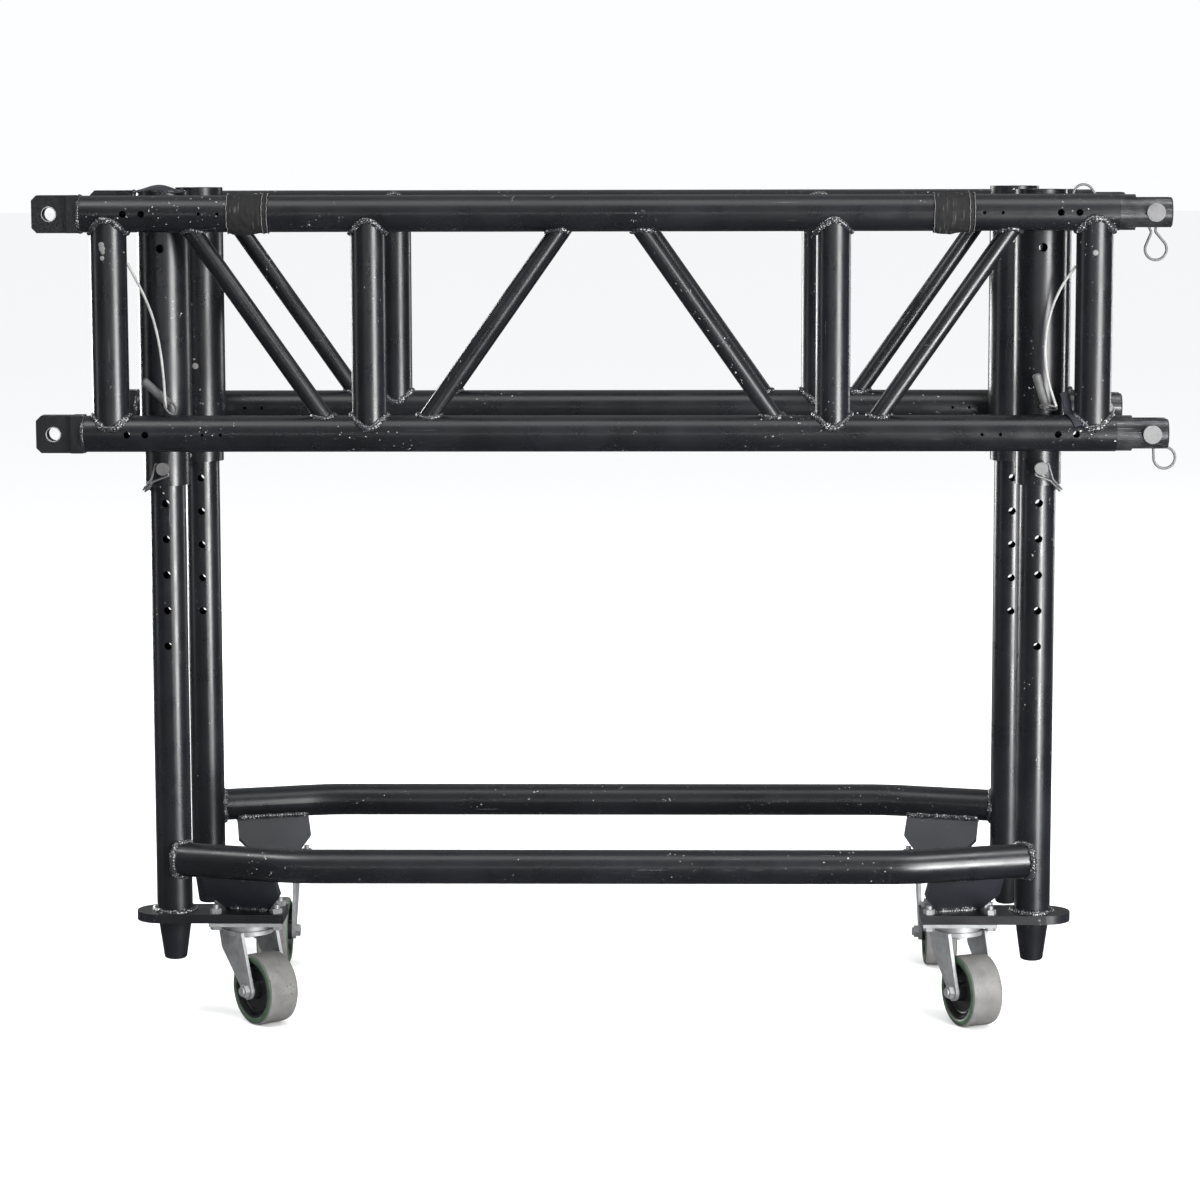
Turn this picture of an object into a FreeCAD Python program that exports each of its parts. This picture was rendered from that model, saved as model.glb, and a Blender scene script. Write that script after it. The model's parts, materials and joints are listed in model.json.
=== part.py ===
import FreeCAD, Part
import math
import os
import re

import Sketcher

# A black pre-rig truss section that stands on two wheeled leg frames.
# Millimetres. +X runs along the truss towards its forks, +Y to the rear, +Z up.
# The origin is on the floor, under the middle of the whole object.

DIMENSIONS = {
    # truss
    "middle_x": -8.98,              # the truss's own middle, left of the origin: a clip hangs past the forks
    "pin_x": 762.0,                # coupling pin centres, from the middle: 5 ft from pin to pin
    "truss_half_depth": 254.0,     # chord centres, front and rear: 20 in apart
    "top_chord_height": 1152.0,
    "chord_spacing": 304.8,        # 12 in between top and bottom chord centres
    "chord_radius": 25.4,
    "chord_wall": 3.2,
    "chord_start": 720.0,          # left end of a chord, from the middle
    "chord_length": 1434.0,
    "end_post_x": 682.0,
    "inner_post_x": 322.0,
    "end_post_radius": 25.4,
    "inner_post_radius": 24.15,
    "post_wall": 3.0,
    "post_tip": 8.0,               # coped tips stop this far from the chord's centre
    "outer_brace_top_x": 582.0,
    "outer_brace_low_x": 369.0,
    "inner_brace_top_x": 41.0,
    "inner_brace_low_x": 256.0,
    "brace_radius": 12.7,
    "brace_wall": 2.5,
    "end_cross_x": 672.0,          # clear of the leg sockets
    "inner_cross_x": 322.0,
    "cross_radius": 19.05,
    "cross_wall": 2.5,
    "clamp_hole_x": 632.4,         # first of two holes through each chord end
    "clamp_hole_radius": 4.8,
    "small_hole_x": 527.4,
    "small_hole_radius": 2.3,
    "hole_pitch": 25.4,
    "tape_x": 487.0,
    "tape_width": 56.0,
    "tape_thickness": 2.4,
    "seat_gap": 0.05,              # between a plug or a tape and its chord
    # male blades and female forks
    "blade_thickness": 25.4,
    "blade_height": 52.0,
    "blade_reach": 24.0,           # blade or fork past the pin centre
    "blade_shoulder": 25.5,        # pin centre to the blade's shoulder
    "blade_corner": 7.0,
    "boss_thickness": 40.0,
    "plug_length": 45.0,
    "fork_radius": 24.6,
    "fork_slot": 27.0,
    "fork_slot_depth": 26.0,       # pin centre to the slot's floor
    "fork_edge": 2.0,
    "pin_radius": 9.5,
    "pin_hole_radius": 9.57,
    "blade_hole_radius": 9.7,
    # coupling pins and their wire clips
    "pin_head_radius": 12.7,
    "pin_head_length": 6.0,
    "pin_head_gap": 0.3,
    "pin_tail_radius": 7.0,
    "pin_tail_length": 16.0,
    "clip_hole_radius": 4.0,
    "clip_wire_radius": 1.9,
    "clip_loop_radius": 14.9,
    "long_clip_reach": 52.5,       # tail hole to the middle of the loop
    "short_clip_reach": 45.0,
    # leg sockets of the truss
    "leg_x": 614.0,
    "socket_radius": 36.5,
    "socket_bore": 31.5,
    "socket_rise": 31.0,           # above the top chord's centre
    "collar_radius": 32.2,
    "collar_bore": 25.9,
    "collar_drop": 381.0,          # collar's lower end, below the top chord's centre
    "socket_drop": 320.0,          # where the wide socket becomes the collar
    "socket_gap": 0.1,
    "socket_hole_radius": 6.0,
    "socket_hole_drop": 49.0,
    # leg frames
    "leg_radius": 25.4,
    "leg_wall": 3.2,
    "leg_top_drop": 236.0,
    "leg_hole_pitch": 50.8,
    "lock_drop": 355.6,            # lock pin, below the top chord's centre
    "leg_hole_radius": 5.4,
    "rail_radius": 24.15,
    "rail_wall": 3.0,
    "rail_height": 234.5,
    "rail_end_x": 604.0,
    "rail_end_y": 210.0,
    "rail_bend_x": 432.0,
    "rail_bow_y": 260.5,
    "rail_bend_radius": 220.0,
    "plate_thickness": 12.7,
    "plate_half_width": 38.0,
    "plate_round_x": 630.0,
    "plate_inner_x": 455.0,
    "gusset_thickness": 9.5,
    "gusset_half_width": 56.0,
    "gusset_foot": 30.0,
    "gusset_corner_height": 31.0,
    "gusset_height": 76.0,
    "gusset_x": 508.5,
    "gusset_y": 190.0,             # foot; the plate leans out from here to the rail's axis
    "gusset_lean": 31.5,           # degrees
    "cone_top_radius": 24.0,
    "cone_low_radius": 15.5,
    "cone_height": 58.0,
    "cone_edge": 3.0,
    # lock pins with their wire bails
    "lock_pin_radius": 4.8,
    "lock_hole_radius": 4.88,
    "lock_head_radius": 9.0,
    "lock_head_length": 9.0,
    "lock_travel": 9.0,
    "lock_nose_gap": 0.5,
    "bail_wire_radius": 1.4,
    "bail_hole_radius": 1.48,
    # casters
    "caster_x": 509.0,
    "caster_height": 145.0,        # floor to the underside of the caster plate
    "caster_plate_length": 105.0,
    "caster_plate_width": 76.0,
    "caster_plate_thickness": 5.0,
    "bolt_spacing_x": 87.0,
    "bolt_spacing_y": 50.0,
    "bolt_radius": 4.0,
    "bolt_hole_radius": 4.3,
    "nut_radius": 8.2,
    "nut_height": 7.0,
    "bolt_tail": 5.0,
    "race_radius": 33.0,
    "race_height": 8.0,
    "king_pin_radius": 6.0,
    "king_hole_radius": 6.07,
    "crown_radius": 36.0,
    "crown_thickness": 6.0,
    "running_gap": 0.3,
    "yoke_gap": 27.0,              # half the space between the yoke's cheeks
    "cheek_thickness": 5.0,
    "cheek_half_width": 29.0,
    "axle_boss_radius": 13.0,
    "trail": 42.0,
    "axle_radius": 6.0,
    "axle_head_radius": 9.5,
    "axle_head_length": 7.0,
    "wheel_radius": 50.8,
    "wheel_half_width": 23.5,
    "tread_thickness": 9.0,
    "tread_edge": 5.0,
    "hub_half_width": 26.5,
    "hub_radius": 14.0,
    "web_recess": 8.0,
    "hub_bore": 6.07,
    # stored quick pins on wire lanyards
    "lanyard_radius": 1.9,
    "stored_pin_radius": 6.3,
    "stored_wire_radius": 1.6,
    "stored_ring_radius": 11.0,
}

FRONT, REAR = -1, 1
LEFT, RIGHT = -1, 1
SIDES = {"front": FRONT, "rear": REAR}
HANDS = {"left": LEFT, "right": RIGHT}
CORNERS = [(side, hand) for side in SIDES for hand in HANDS]
LEG_HOLES_ABOVE = 2                # leg holes above the lock pin
LEG_HOLES_BELOW = 5
SWIVEL_DEGREES = {"front_left": -50.0, "front_right": -66.0, "rear_left": -90.0, "rear_right": -90.0}
CLIP_DEGREES = {"front_top": 9.0, "front_bottom": 34.0, "rear_top": -113.0, "rear_bottom": 0.0}
CLIP_REACHES = {"front_top": "long", "front_bottom": "short", "rear_top": "short", "rear_bottom": "short"}
X_AXIS = FreeCAD.Vector(1, 0, 0)
Y_AXIS = FreeCAD.Vector(0, 1, 0)
Z_AXIS = FreeCAD.Vector(0, 0, 1)

doc = FreeCAD.newDocument("pre_rig_truss")
sheet = doc.addObject("Spreadsheet::Sheet", "Dimensions")
for row, (alias, size) in enumerate(DIMENSIONS.items(), start=1):
    sheet.set(f"A{row}", alias)
    sheet.set(f"B{row}", str(size))
    sheet.setAlias(f"B{row}", alias)
doc.recompute()

nodes = []


# ---------------------------------------------------------------- helpers

def size(name):
    """Number held by one cell of the sheet."""
    return float(sheet.get(name))


def formula(text):
    """Point every cell name in a formula at the sheet."""
    def point(match):
        word = match.group()
        return f"Dimensions.{word}" if word in DIMENSIONS else word
    return re.sub(r"[a-z][a-z_]+", point, str(text))


def number(text):
    """Value of a formula, as the document works it out."""
    value = sheet.evalExpression(formula(text))
    return float(getattr(value, "Value", value))


def bind(item, **sizes):
    for prop, text in sizes.items():
        item.setExpression(prop, formula(text))
    return item


def place(item, x=0, y=0, z=0, rotation=None):
    """Put an object at formulas x, y and z, turned by a rotation."""
    item.Placement = FreeCAD.Placement(FreeCAD.Vector(), rotation or FreeCAD.Rotation())
    for letter, text in zip("xyz", (x, y, z)):
        item.setExpression(f"Placement.Base.{letter}", formula(text))
    return item


def facing(direction):
    """Rotation that turns +Z to a direction."""
    return FreeCAD.Rotation(Z_AXIS, direction)


def cylinder(name, radius, length, x=0, y=0, z=0, along=Z_AXIS):
    item = doc.addObject("Part::Cylinder", name)
    bind(item, Radius=radius, Height=length)
    return place(item, x, y, z, facing(along))


def box(name, length, width, height, x=0, y=0, z=0, rotation=None):
    item = doc.addObject("Part::Box", name)
    bind(item, Length=length, Width=width, Height=height)
    return place(item, x, y, z, rotation)


def fuse(name, pieces):
    item = doc.addObject("Part::MultiFuse", name)
    item.Shapes = pieces
    return item


def cut(name, base, tools):
    item = doc.addObject("Part::Cut", name)
    item.Base = base
    item.Tool = tools[0] if len(tools) == 1 else fuse(name + "_tools", tools)
    return item


def tube(name, radius, wall, length, x=0, y=0, z=0, along=Z_AXIS, holes=()):
    """Round tube, with optional further cutters."""
    outside = cylinder(name + "_outside", radius, length, x, y, z, along)
    inside = cylinder(name + "_inside", f"{radius} - {wall}", length, x, y, z, along)
    return cut(name, outside, [inside, *holes])


def compound(name, pieces):
    item = doc.addObject("Part::Compound", name)
    item.Links = pieces
    return item


def node(item, label):
    """Name a finished sub-part and list it for writing."""
    item.Label = label
    nodes.append(item)
    return item


def polygon(body, name, plane, corners):
    """Closed outline on an origin plane of a body; each corner is a pair of formulas."""
    sketch = body.newObject("Sketcher::SketchObject", name)
    origin_plane = next(f for f in body.Origin.OriginFeatures if f.Role == plane)
    sketch.AttachmentSupport = (origin_plane, [""])
    sketch.MapMode = "FlatFace"
    points = [FreeCAD.Vector(number(a), number(b), 0) for a, b in corners]
    count = len(points)
    for i in range(count):
        sketch.addGeometry(Part.LineSegment(points[i], points[(i + 1) % count]), False)
    for i in range(count):
        sketch.addConstraint(Sketcher.Constraint("Coincident", i, 2, (i + 1) % count, 1))
    for i, (a, b) in enumerate(corners):
        for kind, text, value in (("DistanceX", a, points[i].x), ("DistanceY", b, points[i].y)):
            index = sketch.addConstraint(Sketcher.Constraint(kind, -1, 1, i, 1, value))
            sketch.setExpression(f"Constraints[{index}]", formula(text))
    return sketch


def turned(name, corners):
    """Solid of revolution about the body's own Z axis; corners are (radius, height)."""
    body = doc.addObject("PartDesign::Body", name)
    profile = polygon(body, name + "_profile", "XZ_Plane", corners)
    turn = body.newObject("PartDesign::Revolution", name + "_turn")
    turn.Profile = profile
    turn.ReferenceAxis = (profile, ["V_Axis"])
    turn.Angle = 360.0
    doc.recompute()
    return body


def plate(name, thickness, corners):
    """Flat plate in the body's XZ plane, centred on it."""
    body = doc.addObject("PartDesign::Body", name)
    outline = polygon(body, name + "_outline", "XZ_Plane", corners)
    pad = body.newObject("PartDesign::Pad", name + "_pad")
    pad.Profile = outline
    pad.Midplane = True
    bind(pad, Length=thickness)
    doc.recompute()
    return body


def rounded_path(points, radii, closed=False):
    """Straight runs joined by tangent arcs; radii are those of the corners."""
    count = len(points)
    corners = range(count) if closed else range(1, count - 1)
    entry, leave, middle = {}, {}, {}
    for i in corners:
        here, before, after = points[i], points[i - 1], points[(i + 1) % count]
        back = (before - here).normalize()
        ahead = (after - here).normalize()
        half = back.getAngle(ahead) / 2
        reach = radii[i] / math.tan(half)
        inward = (back + ahead).normalize()
        entry[i] = here + back * reach
        leave[i] = here + ahead * reach
        middle[i] = here + inward * (radii[i] / math.sin(half) - radii[i])
    edges = []
    last = count if closed else count - 1
    for i in range(last):
        start = leave.get(i, points[i])
        stop = entry.get((i + 1) % count, points[(i + 1) % count])
        if start.distanceToPoint(stop) > 0.001:
            edges.append(Part.LineSegment(start, stop).toShape())
        if (i + 1) % count in middle:
            j = (i + 1) % count
            edges.append(Part.Arc(entry[j], middle[j], leave[j]).toShape())
    return Part.Wire(edges)


def wire_solid(name, path, radius):
    """Round wire along a path, as a plain feature."""
    start = path.Edges[0].firstVertex().Point
    first = path.Edges[0]
    ahead = first.tangentAt(first.FirstParameter)
    section = Part.Wire([Part.makeCircle(radius, start, ahead)])
    sweep = path.makePipeShell([section], True, True)
    item = doc.addObject("Part::Feature", name)
    item.Shape = sweep if sweep.ShapeType == "Solid" else Part.Solid(sweep.Shells[0])
    return item


# ---------------------------------------------------------------- truss

LEVELS = {
    "top": "top_chord_height",
    "bottom": "top_chord_height - chord_spacing",
}
chord_envelopes = {}


def build_chord(side, level):
    """One chord, drilled across near both ends."""
    name = f"{side}_{level}_chord"
    y, z = f"{SIDES[side]} * truss_half_depth", LEVELS[level]
    drills = []
    for hand in HANDS.values():
        for first, radius in (("clamp_hole_x", "clamp_hole_radius"), ("small_hole_x", "small_hole_radius")):
            for step in range(2):
                x = f"middle_x + {hand} * ({first} + {step} * hole_pitch)"
                drill = cylinder(f"{name}_drill", radius, "4 * chord_radius", x, f"{y} - 2 * chord_radius", z, Y_AXIS)
                drills.append(drill)
    start = "middle_x - chord_start"
    chord = tube(name, "chord_radius", "chord_wall", "chord_length", start, y, z, X_AXIS, drills)
    envelope = cylinder(f"{name}_envelope", "chord_radius + 0.001", "chord_length", start, y, z, X_AXIS)
    chord_envelopes[side, level] = envelope
    node(chord, name)


def build_web():
    """Upright posts and slanting braces of both ladders, coped to the chords."""
    posts, braces = [], []
    for side, sign in SIDES.items():
        copes = [chord_envelopes[side, "top"], chord_envelopes[side, "bottom"]]
        y = f"{sign} * truss_half_depth"
        for level, z in LEVELS.items():
            copes.append(box(f"{side}_{level}_tip_trim", "2 * pin_x", "4 * chord_radius", "2 * post_tip",
                             "middle_x - pin_x", f"{y} - 2 * chord_radius", f"{z} - post_tip"))
        for hand_name, hand in HANDS.items():
            for place_name in ("end", "inner"):
                radius = f"{place_name}_post_radius"
                x = f"middle_x + {hand} * {place_name}_post_x"
                posts.append(tube(f"{side}_{hand_name}_{place_name}_post", radius, "post_wall", "chord_spacing",
                                  x, y, LEVELS["bottom"], Z_AXIS, copes))
            for place_name in ("outer", "inner"):
                top = number(f"{hand} * {place_name}_brace_top_x")
                low = number(f"{hand} * {place_name}_brace_low_x")
                slant = FreeCAD.Vector(top - low, 0, size("chord_spacing"))
                length = f"sqrt(chord_spacing^2 + ({place_name}_brace_top_x - {place_name}_brace_low_x)^2)"
                x = f"middle_x + {hand} * {place_name}_brace_low_x"
                braces.append(tube(f"{side}_{hand_name}_{place_name}_brace", "brace_radius", "brace_wall", length,
                                   x, y, LEVELS["bottom"], slant, copes))
    node(compound("posts", posts), "ladder_posts")
    node(compound("braces", braces), "ladder_braces")


def build_cross_tubes():
    """Tubes that tie the two top chords together, coped to the chords and posts."""
    tubes = []
    for hand_name, hand in HANDS.items():
        for place_name in ("end", "inner"):
            copes = [chord_envelopes["front", "top"], chord_envelopes["rear", "top"]]
            for sign in SIDES.values():
                copes.append(cylinder(f"{hand_name}_{place_name}_cross_cope", f"{place_name}_post_radius + 0.001",
                                      "chord_spacing", f"middle_x + {hand} * {place_name}_post_x",
                                      f"{sign} * truss_half_depth", LEVELS["bottom"]))
            x = f"middle_x + {hand} * {place_name}_cross_x"
            tubes.append(tube(f"{hand_name}_{place_name}_cross", "cross_radius", "cross_wall",
                              "2 * truss_half_depth", x, "-truss_half_depth", LEVELS["top"], Y_AXIS, copes))
    node(compound("cross_tubes_all", tubes), "top_cross_tubes")


def build_blade(side, level):
    """Flat male blade with a shoulder and a plug that fills the chord's left end."""
    name = f"{side}_{level}_blade"
    low, high, corner = "-blade_height / 2", "blade_height / 2", "blade_corner"
    blade = plate(name + "_tongue", "blade_thickness", [
        (f"-blade_reach + {corner}", low), ("blade_shoulder", low), ("blade_shoulder", high),
        (f"-blade_reach + {corner}", high), ("-blade_reach", f"{high} - {corner}"), ("-blade_reach", f"{low} + {corner}"),
    ])
    pin = "middle_x - pin_x"
    y, z = f"{SIDES[side]} * truss_half_depth", LEVELS[level]
    place(blade, pin, y, z)
    boss = box(name + "_boss", "pin_x - chord_start - blade_shoulder", "boss_thickness", "blade_height",
               f"{pin} + blade_shoulder", f"{y} - boss_thickness / 2", f"{z} - blade_height / 2")
    plug = cylinder(name + "_plug", "chord_radius - chord_wall - seat_gap", "plug_length",
                    "middle_x - chord_start", y, z, X_AXIS)
    hole = cylinder(name + "_hole", "blade_hole_radius", "2 * blade_thickness", pin, f"{y} - blade_thickness", z, Y_AXIS)
    return cut(name, fuse(name + "_solid", [blade, boss, plug]), [hole])


def build_fork(side, level):
    """Round female fork with an upright slot and a plug that fills the chord's right end."""
    name = f"{side}_{level}_fork"
    fork = turned(name + "_round", [
        ("0", "-plug_length"), ("chord_radius - chord_wall - seat_gap", "-plug_length"),
        ("chord_radius - chord_wall - seat_gap", "0"), ("fork_radius", "0"),
        ("fork_radius", "pin_x + blade_reach + chord_start - chord_length - fork_edge"),
        ("fork_radius - fork_edge", "pin_x + blade_reach + chord_start - chord_length"),
        ("0", "pin_x + blade_reach + chord_start - chord_length"),
    ])
    y, z = f"{SIDES[side]} * truss_half_depth", LEVELS[level]
    place(fork, "middle_x - chord_start + chord_length", y, z, facing(X_AXIS))
    slot = box(name + "_slot", "fork_slot_depth + 2 * blade_reach", "fork_slot", "4 * fork_radius",
               "middle_x + pin_x - fork_slot_depth", f"{y} - fork_slot / 2", f"{z} - 2 * fork_radius")
    hole = cylinder(name + "_hole", "pin_hole_radius", "4 * fork_radius",
                    "middle_x + pin_x", f"{y} - 2 * fork_radius", z, Y_AXIS)
    return cut(name, fork, [slot, hole])


def build_fork_pin(side, level):
    """Coupling pin: head outside, a thinner drilled tail inside the truss."""
    name = f"{side}_{level}_fork_pin"
    sign = SIDES[side]
    inward = Y_AXIS * -sign
    x, z = "middle_x + pin_x", LEVELS[level]
    y = f"{sign} * truss_half_depth"
    under_head = f"{y} + {sign} * (fork_radius + pin_head_gap)"
    head = cylinder(name + "_head", "pin_head_radius", "pin_head_length",
                    x, f"{under_head} + {sign} * pin_head_length", z, inward)
    shank = cylinder(name + "_shank", "pin_radius", "2 * (fork_radius + pin_head_gap)", x, under_head, z, inward)
    tail_start = f"{y} - {sign} * (fork_radius + pin_head_gap)"
    tail = cylinder(name + "_tail", "pin_tail_radius", "pin_tail_length", x, tail_start, z, inward)
    hole_y = f"{tail_start} - {sign} * pin_tail_length / 2"
    hole = cylinder(name + "_eye", "clip_hole_radius", "4 * pin_tail_radius",
                    "middle_x + pin_x - 2 * pin_tail_radius", hole_y, z, X_AXIS)
    turn = FreeCAD.Rotation(Y_AXIS, -CLIP_DEGREES[f"{side}_{level}"])
    spun = cut(name, fuse(name + "_solid", [head, shank, tail]), [hole])
    # The eye lies across the clip, so the whole pin is turned with it about its own axis.
    centre = FreeCAD.Vector(number(x), 0, number(z))
    spun.Placement = FreeCAD.Placement(FreeCAD.Vector(), turn, centre)
    node(spun, name)
    build_clip(side, level, centre + Y_AXIS * number(hole_y), turn)


def build_clip(side, level, eye, turn):
    """Wire clip: a short bar through the pin's eye, a narrow neck and a round loop."""
    name = f"{side}_{level}_clip"
    loop, wire = size("clip_loop_radius"), size("clip_wire_radius")
    reach = size(CLIP_REACHES[f"{side}_{level}"] + "_clip_reach")
    bar_half = size("pin_tail_radius") + 2.2 * wire
    bar_bend, neck_bend = 1.6 * wire, 3.0 * wire
    neck_half = 1.4 * wire
    neck_drop = reach - 1.62 * loop
    # Side line of the loop's circle and the line from the neck that touches it.
    fall = reach - neck_drop
    steep = (fall + math.sqrt(fall ** 2 - (loop - neck_half) * (loop + neck_half))) / (loop - neck_half)
    shoulder_drop = reach - loop / steep
    half = [(bar_half, 0, bar_bend), (neck_half, neck_drop, neck_bend),
            (loop, shoulder_drop, loop * 0.999), (loop, reach + loop, loop * 0.999)]
    outline = half + [(-x, drop, bend) for x, drop, bend in reversed(half)]
    points = [eye + turn.multVec(FreeCAD.Vector(x, 0, -drop)) for x, drop, bend in outline]
    # Start in the middle of the bar, so that the sweep begins on a straight run.
    bends = [bend for x, drop, bend in outline]
    path = rounded_path([eye, *points, eye], [0, *bends, 0])
    node(wire_solid(name, path, wire), name)


def build_sockets(side):
    """Two sockets for the legs, welded to the inner sides of one ladder's chords."""
    sockets = []
    sign = SIDES[side]
    for hand_name, hand in HANDS.items():
        name = f"{side}_{hand_name}_socket"
        x = f"middle_x + {hand} * leg_x"
        y = f"{sign} * (truss_half_depth - chord_radius - socket_radius - socket_gap)"
        top, step = "top_chord_height + socket_rise", "top_chord_height - socket_drop"
        low = "top_chord_height - collar_drop"
        wide = cylinder(name + "_wide", "socket_radius", f"({top}) - ({step})", x, y, step)
        collar = cylinder(name + "_collar", "collar_radius", f"({step}) - ({low}) + 1", x, y, low)
        wide_bore = cylinder(name + "_bore", "socket_bore", "socket_rise + socket_drop", x, y, step)
        bore = cylinder(name + "_guide", "collar_bore", "collar_drop", x, y, f"{low} - 1")
        lock = cylinder(name + "_lock_hole", "lock_hole_radius", "2 * collar_radius", x, y,
                        "top_chord_height - lock_drop", Y_AXIS * sign)
        upper = cylinder(name + "_upper_hole", "socket_hole_radius", "4 * socket_radius", x,
                         f"{y} - 2 * socket_radius", "top_chord_height - socket_hole_drop", Y_AXIS)
        shell = fuse(name + "_solid", [wide, collar])
        sockets.append(cut(name, shell, [wide_bore, bore, lock, upper]))
    node(compound(f"{side}_sockets", sockets), f"{side}_leg_sockets")


def build_tape():
    """Bands of cloth tape round the front top chord."""
    bands = []
    for hand_name, hand in HANDS.items():
        x = f"middle_x + {hand} * tape_x - tape_width / 2"
        bands.append(tube(f"tape_{hand_name}", "chord_radius + tape_thickness", "(tape_thickness - seat_gap)",
                          "tape_width", x, "-truss_half_depth", LEVELS["top"], X_AXIS))
    node(compound("tape_bands_all", bands), "tape_bands")


for side_name in SIDES:
    for level_name in LEVELS:
        build_chord(side_name, level_name)
doc.recompute()
build_web()
build_cross_tubes()
for side_name in SIDES:
    blades = [build_blade(side_name, level_name) for level_name in LEVELS]
    node(compound(f"{side_name}_blades_all", blades), f"{side_name}_blades")
    forks = [build_fork(side_name, level_name) for level_name in LEVELS]
    node(compound(f"{side_name}_forks_all", forks), f"{side_name}_forks")
    build_sockets(side_name)
build_tape()
for side_name in SIDES:
    for level_name in LEVELS:
        build_fork_pin(side_name, level_name)


# ---------------------------------------------------------------- leg frames

LEG_Y = "(truss_half_depth - chord_radius - socket_radius - socket_gap)"
PLATE_TOP = "caster_height + plate_thickness"


def leg_envelope(name, sign, hand):
    return cylinder(name, "leg_radius + 0.001", "top_chord_height", f"middle_x + {hand} * leg_x",
                    f"{sign} * {LEG_Y}", "0")


def build_legs(side):
    """Two drilled legs of one frame."""
    legs = []
    sign = SIDES[side]
    for hand_name, hand in HANDS.items():
        name = f"{side}_{hand_name}_leg"
        x, y = f"middle_x + {hand} * leg_x", f"{sign} * {LEG_Y}"
        drills = []
        for step in range(-LEG_HOLES_ABOVE, LEG_HOLES_BELOW + 1):
            height = f"top_chord_height - lock_drop - {step} * leg_hole_pitch"
            drills.append(cylinder(f"{name}_drill", "leg_hole_radius", "4 * leg_radius", x,
                                   f"{y} - 2 * leg_radius", height, Y_AXIS))
        legs.append(tube(name, "leg_radius", "leg_wall", f"top_chord_height - leg_top_drop - ({PLATE_TOP})",
                         x, y, PLATE_TOP, Z_AXIS, drills))
    node(compound(f"{side}_legs_all", legs), f"{side}_legs")


def rail_solid(name, sign, radius, overrun):
    """Bowed bar: a straight middle and two slanting ends, joined by smooth bends."""
    middle = size("middle_x")
    slope = (size("rail_bow_y") - size("rail_end_y")) / (size("rail_end_x") - size("rail_bend_x"))
    end_x = size("rail_end_x") + overrun
    end_y = size("rail_end_y") - overrun * slope
    z = size("rail_height")
    flat = [(-end_x, end_y), (-size("rail_bend_x"), size("rail_bow_y")),
            (size("rail_bend_x"), size("rail_bow_y")), (end_x, end_y)]
    points = [FreeCAD.Vector(middle + x, sign * y, z) for x, y in flat]
    bend = size("rail_bend_radius")
    return wire_solid(name, rounded_path(points, [0, bend, bend, 0]), radius)


def build_rail(side):
    sign = SIDES[side]
    outside = rail_solid(f"{side}_rail_outside", sign, size("rail_radius"), 0)
    inside = rail_solid(f"{side}_rail_inside", sign, size("rail_radius") - size("rail_wall"), 5)
    legs = [leg_envelope(f"{side}_rail_cope", sign, hand) for hand in HANDS.values()]
    node(cut(f"{side}_rail_tube", outside, [inside, *legs]), f"{side}_rail")
    return outside


def build_gussets(side, rail_outside):
    """Six-sided plates that lean out from the caster plates to the underside of the rail."""
    sign = SIDES[side]
    slope = (size("rail_bow_y") - size("rail_end_y")) / (size("rail_end_x") - size("rail_bend_x"))
    slant = math.degrees(math.atan(slope))
    pieces = []
    for hand_name, hand in HANDS.items():
        name = f"{side}_{hand_name}_gusset"
        wide, foot, corner, top = "gusset_half_width", "gusset_foot", "gusset_corner_height", "gusset_height"
        body = plate(name + "_plate", "gusset_thickness", [
            (f"-{foot}", "-gusset_thickness"), (foot, "-gusset_thickness"), (foot, "0"), (wide, corner),
            (f"{wide} - 1", top), (f"1 - {wide}", top), (f"-{wide}", corner), (f"-{foot}", "0"),
        ])
        turn = FreeCAD.Rotation(Z_AXIS, -sign * hand * slant)
        turn = turn.multiply(FreeCAD.Rotation(X_AXIS, -sign * size("gusset_lean")))
        x, y = f"middle_x + {hand} * gusset_x", f"{sign} * gusset_y"
        place(body, x, y, PLATE_TOP, turn)
        below = box(name + "_below", "4 * gusset_half_width", "4 * gusset_half_width", "plate_thickness",
                    f"{x} - 2 * gusset_half_width", f"{y} - 2 * gusset_half_width", "caster_height")
        pieces.append(cut(name, body, [rail_outside, below]))
    node(compound(f"{side}_gussets_all", pieces), f"{side}_gussets")


def caster_corners(sign, hand):
    """Formulas of the four bolt centres of one caster."""
    for step_x in (-1, 1):
        for step_y in (-1, 1):
            yield (f"middle_x + {hand} * caster_x + {step_x} * bolt_spacing_x / 2",
                   f"{sign} * {LEG_Y} + {step_y} * bolt_spacing_y / 2")


def build_caster_plates(side):
    """Thick plates under the legs, round at their outer ends."""
    sign = SIDES[side]
    plates = []
    for hand_name, hand in HANDS.items():
        name = f"{side}_{hand_name}_caster_plate"
        start = "-plate_round_x" if hand == LEFT else "plate_inner_x"
        straight = box(name + "_straight", "plate_round_x - plate_inner_x", "2 * plate_half_width",
                       "plate_thickness", f"middle_x + {start}", f"{sign} * {LEG_Y} - plate_half_width",
                       "caster_height")
        rounded = cylinder(name + "_round", "plate_half_width", "plate_thickness",
                           f"middle_x + {hand} * plate_round_x", f"{sign} * {LEG_Y}", "caster_height")
        holes = [cylinder(name + "_bolt_hole", "bolt_hole_radius", "3 * plate_thickness", x, y,
                          "caster_height - plate_thickness") for x, y in caster_corners(sign, hand)]
        plates.append(cut(name, fuse(name + "_solid", [straight, rounded]), holes))
    node(compound(f"{side}_caster_plates_all", plates), f"{side}_caster_plates")


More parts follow.
